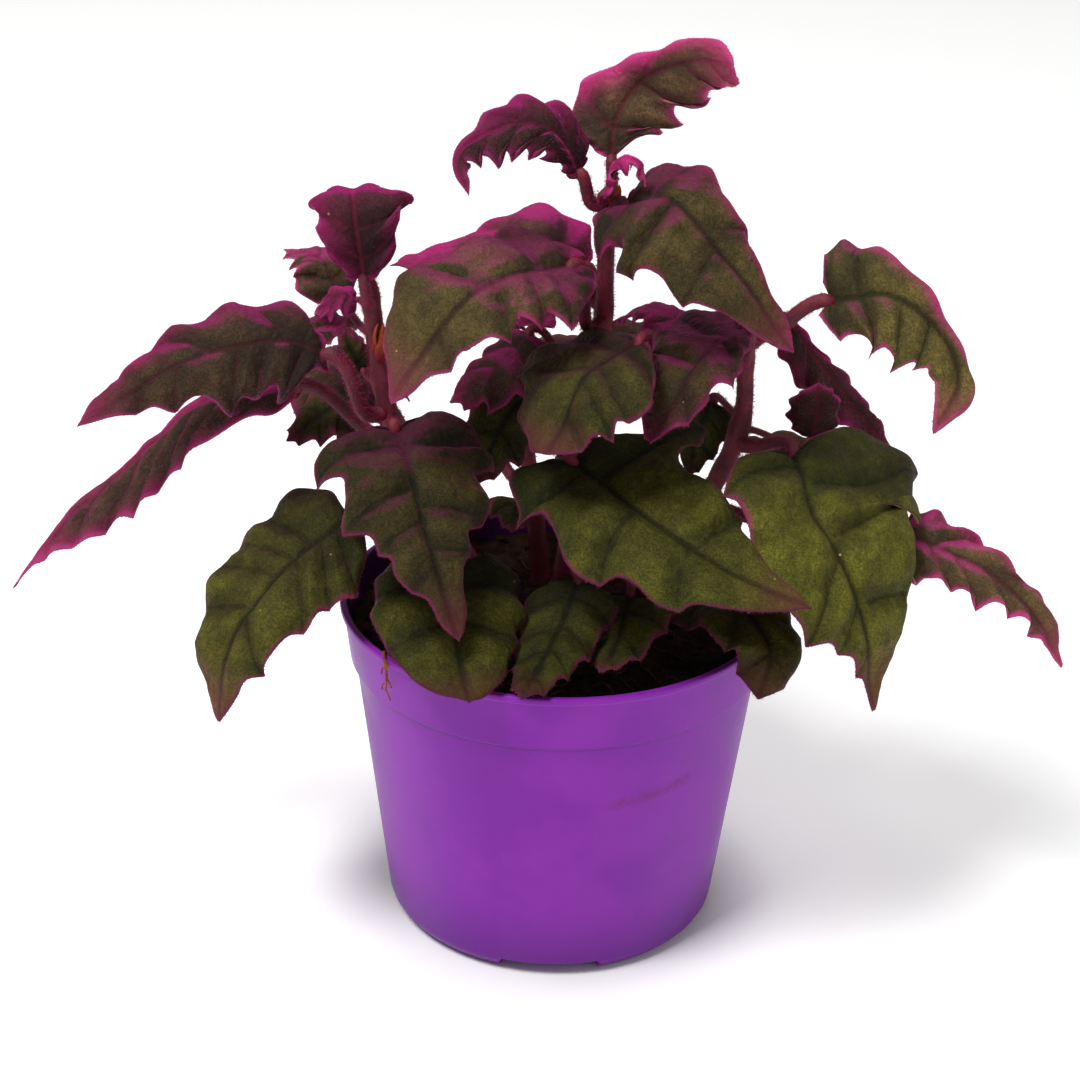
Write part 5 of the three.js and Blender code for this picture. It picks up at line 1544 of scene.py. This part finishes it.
def blade_grid(leaf, rib, length, upward, chance):
    """Both faces of a blade as grids of points, with the distances that its colours need. At a point u is
    the share of the edge, v the share of the way out to it, s the way along the midrib and t out from it."""
    edges = []
    for key in ("left", "right"):
        edges.append(edge_line(leaf.get(key + "_edge") or regular_edge(leaf, leaf[key], length, chance)))
    rows = blade_rows(edges)
    measures = np.stack([at_rows(rows, edge) for edge in edges], -1)
    half = max(5, int(np.max(measures[1]) / COLUMN_STEP))
    outward = 1 - (1 - np.arange(half + 1) / half) ** 1.5
    columns = np.concatenate([-outward[:0:-1], outward])
    side = np.where(columns < 0, -1, 1)
    along, out, soft, vein = measures[..., (side > 0).astype(int)]
    wide = each_side((leaf["left"], leaf["right"]), side)
    run = each_side([edge[3] for edge in edges], side)
    u, v = rows[:, None], np.abs(columns)[None]
    foot = length * u**VEIN_PACE
    pace = length * VEIN_PACE * u ** (VEIN_PACE - 1)
    t = out * v
    s = foot + (along - foot) * v**VEIN_ARCH
    vein = vein * (pace * (1 - v) + run * v) * 0.8
    filled = out / wide
    middle, normal = bent(leaf, rib, upward, length, side, s, t, t / np.maximum(soft, NARROWEST), wide)
    seed = chance.uniform(0, 90)
    noises = [noise_over(s, side * t, spacing, seed) for spacing in UNEVEN]
    relief = blade_relief(leaf, size_of(length), u, v, t, vein, filled, noises, seed)
    thick = EDGE_THICKNESS + (BLADE_THICKNESS - EDGE_THICKNESS) * (1 - v**6)
    keel = KEEL_HEIGHT * bell(vein, KEEL_WIDTH) * (1 - v**5) * np.clip(filled, 0, 1)
    top = middle + normal * (relief + thick / 2)[..., None]
    below = middle + normal * (relief - thick / 2 - keel)[..., None]
    flush = purple_edge_and_sheen(leaf, u, out - t, side, 1 + 0.35 * noises[1])
    blade = np.stack([t, out - t, vein], -1)
    part = np.stack([np.clip(s / length, 0, 1), np.zeros_like(t), flush], -1)
    return top, below, blade, part


def blade_mesh(top, below, apex):
    """One closed blade from its two grids and its tip."""
    rows, columns = top.shape[:2]
    count = rows * columns
    points = np.vstack([top.reshape(-1, 3), below.reshape(-1, 3), apex[None]])
    faces = []
    for j in range(rows - 1):
        for k in range(columns - 1):
            a = j * columns + k
            faces.append((a, a + 1, a + columns + 1, a + columns))
            faces.append((count + a, count + a + columns, count + a + columns + 1, count + a + 1))
        a = j * columns
        b = a + columns - 1
        faces.append((a, a + columns, count + a + columns, count + a))
        faces.append((b, count + b, count + b + columns, b + columns))
    for k in range(columns - 1):
        faces.append((k, count + k, count + k + 1, k + 1))
        a = (rows - 1) * columns + k
        faces.append((a, a + 1, 2 * count))
        faces.append((count + a + 1, count + a, 2 * count))
    a = (rows - 1) * columns
    faces.append((a, 2 * count, count + a))
    faces.append((a + columns - 1, count + a + columns - 1, 2 * count))
    return points, faces


def fringe(top, below, chance):
    """Hairs along the edge of a blade, pointing out of it."""
    roots, ways = [], []
    for column, inner in ((0, 2), (-1, -3)):
        edge = (top[:, column] + below[:, column]) / 2
        out = unit(edge - (top[:, inner] + below[:, inner]) / 2)
        run = run_along(edge)
        at = chance.uniform(0, run[-1], int(run[-1] / FRINGE_SPACING))
        roots.append(looked_up(at, run, edge))
        ways.append(looked_up(at, run, out))
    roots, ways = np.vstack(roots), np.vstack(ways)
    ways = ways + chance.normal(scale=FRINGE_LEAN, size=ways.shape)
    lengths = FRINGE_LENGTH * chance.uniform(*LEAF_HAIR_LENGTHS, len(roots))
    return hairs(roots, ways, lengths, LEAF_HAIR_THICKNESS, chance)


def surface_nap(top, blade, chance):
    """Short hairs standing on the top of a young blade, near its edge."""
    corner, right, up = top[:-1, :-1], top[:-1, 1:], top[1:, :-1]
    across = np.cross(right - corner, up - corner)
    near = bell(np.maximum(blade[:-1, :-1, 1], 0), NAP_REACH)
    many = chance.poisson(np.linalg.norm(across, axis=-1) * near * NAP_PER_MM2).ravel()
    cell = np.repeat(np.arange(many.size), many)
    a, b = chance.random((2, len(cell), 1))
    corner, right, up, across = (values.reshape(-1, 3)[cell] for values in (corner, right, up, across))
    roots = corner + a * (right - corner) + b * (up - corner)
    ways = unit(across) + chance.normal(scale=NAP_LEAN, size=(len(cell), 3))
    lengths = NAP_LENGTH * chance.uniform(*NAP_LENGTHS, len(cell))
    return hairs(roots, ways, lengths, LEAF_HAIR_THICKNESS, chance)


def stalk_tube(stalk, top, below, length, upward):
    """The stalk, which runs on as a thinning rib half sunk in the underside of the blade."""
    thick = min(max(0.55 + STALK_PER_LENGTH * length, THINNEST_STALK), THICKEST_STALK)
    centre = below.shape[1] // 2
    rows = np.linspace(0, int(len(below) * RIB_SHARE), RIB_STEPS).astype(int)
    under = unit(below[rows, centre] - top[rows, centre])
    rib_radius = thick * (0.75 * np.linspace(1, 0, RIB_STEPS) ** 0.8 + 0.1)
    sunk = (0.9 * rib_radius + 0.05) * smoothstep(np.arange(RIB_STEPS), 0, 4)
    free = len(stalk) - 2
    line = np.vstack([stalk[:free], below[rows, centre] + under * sunk[:, None]])
    radius = np.concatenate([thick * (1 + 0.35 * np.exp(-np.arange(free) / 3.0)), rib_radius])
    return line, radius, tube(line, radius, radius * 0.9, upward, STALK_SIDES, free)


SLOT_AGES = {0.3: "leaf_young", 0.7: "leaf_mid", 1: "leaf_old"}
HAIR_AGES = {0.4: purple_hair("young_hair", YOUNG_HAIR), 0.7: STEM_HAIR, 1: purple_hair("old_hair", OLD_HAIR)}


def at_age(age, stages):
    """The first stage that lasts to this age."""
    return next(stage for last, stage in stages.items() if age <= last)


def mark(piece, name, kind, values):
    """Values for the finish, one for each point."""
    attribute = piece.data.attributes.new(name, kind, "POINT")
    key = "vector" if kind == "FLOAT_VECTOR" else "value"
    attribute.data.foreach_set(key, values.astype(np.float32).ravel())


def make_leaf(name, leaf, seed):
    chance = np.random.default_rng(seed)
    age = leaf["age"]
    stalk, rib, out = leaf_lines(STEMS[name.split("_")[0]], leaf)
    length = run_along(rib)[-1]
    upward = blade_facing(leaf, rib, out)
    top, below, blade, part = blade_grid(leaf, rib, length, upward, chance)
    skin = blade_mesh(top, below, rib[-1])
    line, radius, shaft = stalk_tube(stalk, top, below, length, upward)
    bare = len(stalk)
    fuzz = [
        tube_hairs(line[:bare], radius[:bare], STALK_HAIRS_PER_MM2, STALK_HAIR_LENGTH, chance, 0.04),
        fringe(top, below, chance),
    ]
    if age <= NAP_AGE:
        fuzz.append(surface_nap(top, blade, chance))
    points, faces = joined([skin, shaft, *fuzz])
    choice = np.repeat([0, 1, 2], [len(skin[1]), len(shaft[1]), sum(len(hair[1]) for hair in fuzz)])
    finishes = [leaf_velvet(age), STEM_SKIN, at_age(age, HAIR_AGES)]
    piece = make_piece("blade_" + name, points, faces, finishes, choice)
    count = blade[..., 0].size
    distances, parts = np.zeros((2, len(points), 3))
    distances[: 2 * count] = np.tile(blade.reshape(-1, 3), (2, 1))
    parts[: 2 * count] = np.tile(part.reshape(-1, 3), (2, 1))
    parts[count : 2 * count, 1] = 1
    parts[2 * count] = (1, 0, 1)
    mark(piece, "blade", "FLOAT_VECTOR", distances)
    mark(piece, "part", "FLOAT_VECTOR", parts)
    mark(piece, "tone_and_shade", "FLOAT", np.full(len(points), leaf["tone_and_shade"]))
    belongs(piece, at_age(age, SLOT_AGES), "leaf_" + name)


for number, (name, stem) in enumerate(STEMS.items()):
    joints = [leaf["joint"] for leaf_name, leaf in LEAVES.items() if leaf_name.split("_")[0] == name]
    make_stem(name, stem, joints, STEM_SEED + number)
for number, (name, leaf) in enumerate(LEAVES.items()):
    make_leaf(name, {**PLAIN_LEAF, **leaf}, LEAF_SEED + number)

# The side buds: each stands in the corner between a stem and a stalk, crimson below and orange above, in
# folded scales that wrap round one another.
BUDS = {
    "left_bud": dict(foot=(-48.5, -5, 165), top=(-47, -9.5, 177), thick=3.2),
    "tall_bud": dict(foot=(11, -0.5, 206), top=(12.5, -3, 214), thick=2.6),
}
BUD_SWELL = np.array([0.7, 0.95, 1, 0.95, 0.85, 0.7, 0.55, 0.35, 0.12])
BUD_SIDES = 10
BUD_SCALES = 5
SCALE_TURN = 2.4
SCALE_LENGTH = 0.62
SCALE_RISE = 0.09
BUD_SEED = 300
BUD_ORANGE = "#a04a1a"


def bud_skin(name, low, high):
    """Crimson at the foot of the bud and orange at its top."""
    finish, tree, shader, place = new_finish(name + "_skin")
    grain = place_group(tree, GRAIN, {"Place": place, "Coarse": 2.0, "Fine": 0.5})
    share = ramp(tree, parted(tree, place)["Z"], low, low + 0.6 * (high - low))
    share = product(tree, share, ramp(tree, grain["Patches"], 0, 1, 0.5, 1))
    give(tree, shader, {
        "Base Color": blend(tree, share, paint(CRIMSON), paint(BUD_ORANGE)),
        "Roughness": 0.7,
        "Specular IOR Level": 0.2,
    })
    return finish


def make_bud(name, bud, seed):
    """A side bud: a core with folded scales round it, each a little higher than the last."""
    chance = np.random.default_rng(seed)
    foot, top = np.array(bud["foot"], float), np.array(bud["top"], float)
    up, length = unit(top - foot), np.linalg.norm(top - foot)
    steps = np.linspace(0, 1, len(BUD_SWELL))[:, None]
    radius = bud["thick"] / 2 * BUD_SWELL
    parts = [tube(foot + (top - foot) * steps, radius, radius, SIDEWAYS, BUD_SIDES)]
    for k in range(BUD_SCALES):
        out = np.array([math.cos(SCALE_TURN * k), math.sin(SCALE_TURN * k), 0.0])
        out = unit(out - up * (out @ up))
        rise = length * (0.02 + SCALE_RISE * k)
        lean = bud["thick"] * (0.25 + 0.35 * np.sin(np.pi * steps * chance.uniform(0.6, 0.9)))
        line = foot + up * (rise + length * SCALE_LENGTH * steps) + out * lean
        parts.append(tube(line, radius * 0.9, radius * 0.35, out, BUD_SIDES))
    skin = bud_skin(name, float(foot[2]), float(top[2]))
    belongs(make_piece(name, *joined(parts), [skin]), "leaf_young")


for number, (name, bud) in enumerate(BUDS.items()):
    make_bud(name, bud, BUD_SEED + number)

# The set: a plain white floor that runs out of sight, and large soft lamps above it. The floor glows a little
# away from the pot, so that it stays white without washing out the shadow at the pot's foot.
FLOOR_SIZE = 8.0
FLOOR_WHITE = (0.97, 0.97, 0.96, 1)
GLOW_WHITE = (1, 1, 0.99, 1)
GLOW_STRENGTH = 0.26
GLOW_FROM = FOOT_RADIUS - 3
GLOW_TO = FOOT_RADIUS + 25
ROOM_WHITE = (1, 1, 1, 1)
ROOM_STRENGTH = 0.25
LAMP_AIM = Vector((0, 0, 0.12))
LAMPS = {
    "key": dict(spot=(-0.6, -0.6, 1.6), size=0.6, watts=25),
    "fill": dict(spot=(1.1, -0.9, 0.9), size=1.2, watts=3),
    "top": dict(spot=(0.1, 0.6, 1.7), size=1.2, watts=8),
}


def white_paper():
    finish, tree, shader, place = new_finish("white_paper")
    away = vector(tree, "LENGTH", {0: vector(tree, "SUBTRACT", {0: place, 1: AXIS_SPOT})}, "Value")
    give(tree, shader, {
        "Base Color": FLOOR_WHITE,
        "Roughness": 0.9,
        "Emission Color": blend(tree, ramp(tree, away, GLOW_FROM, GLOW_TO), (0, 0, 0, 1), GLOW_WHITE),
        "Emission Strength": GLOW_STRENGTH,
    })
    return finish


def make_floor():
    half = FLOOR_SIZE / 2
    corners = [(x * half, y * half, 0) for x, y in ((-1, -1), (1, -1), (1, 1), (-1, 1))]
    mesh = bpy.data.meshes.new("floor")
    mesh.from_pydata(corners, [], [(0, 1, 2, 3)])
    mesh.materials.append(white_paper())
    floor = bpy.data.objects.new("floor", mesh)
    bpy.context.scene.collection.objects.link(floor)


def light_room():
    room = bpy.data.worlds.new("studio")
    room.use_nodes = True
    give(room.node_tree, room.node_tree.nodes["Background"], {"Color": ROOM_WHITE, "Strength": ROOM_STRENGTH})
    bpy.context.scene.world = room
    for name, lamp in LAMPS.items():
        light = bpy.data.lights.new(name, "AREA")
        light.energy = lamp["watts"]
        light.size = lamp["size"]
        holder = bpy.data.objects.new(name, light)
        holder.location = lamp["spot"]
        holder.rotation_euler = (LAMP_AIM - Vector(lamp["spot"])).to_track_quat("-Z", "Y").to_euler()
        bpy.context.scene.collection.objects.link(holder)
    bpy.context.scene.view_settings.view_transform = "Standard"


make_floor()
light_room()
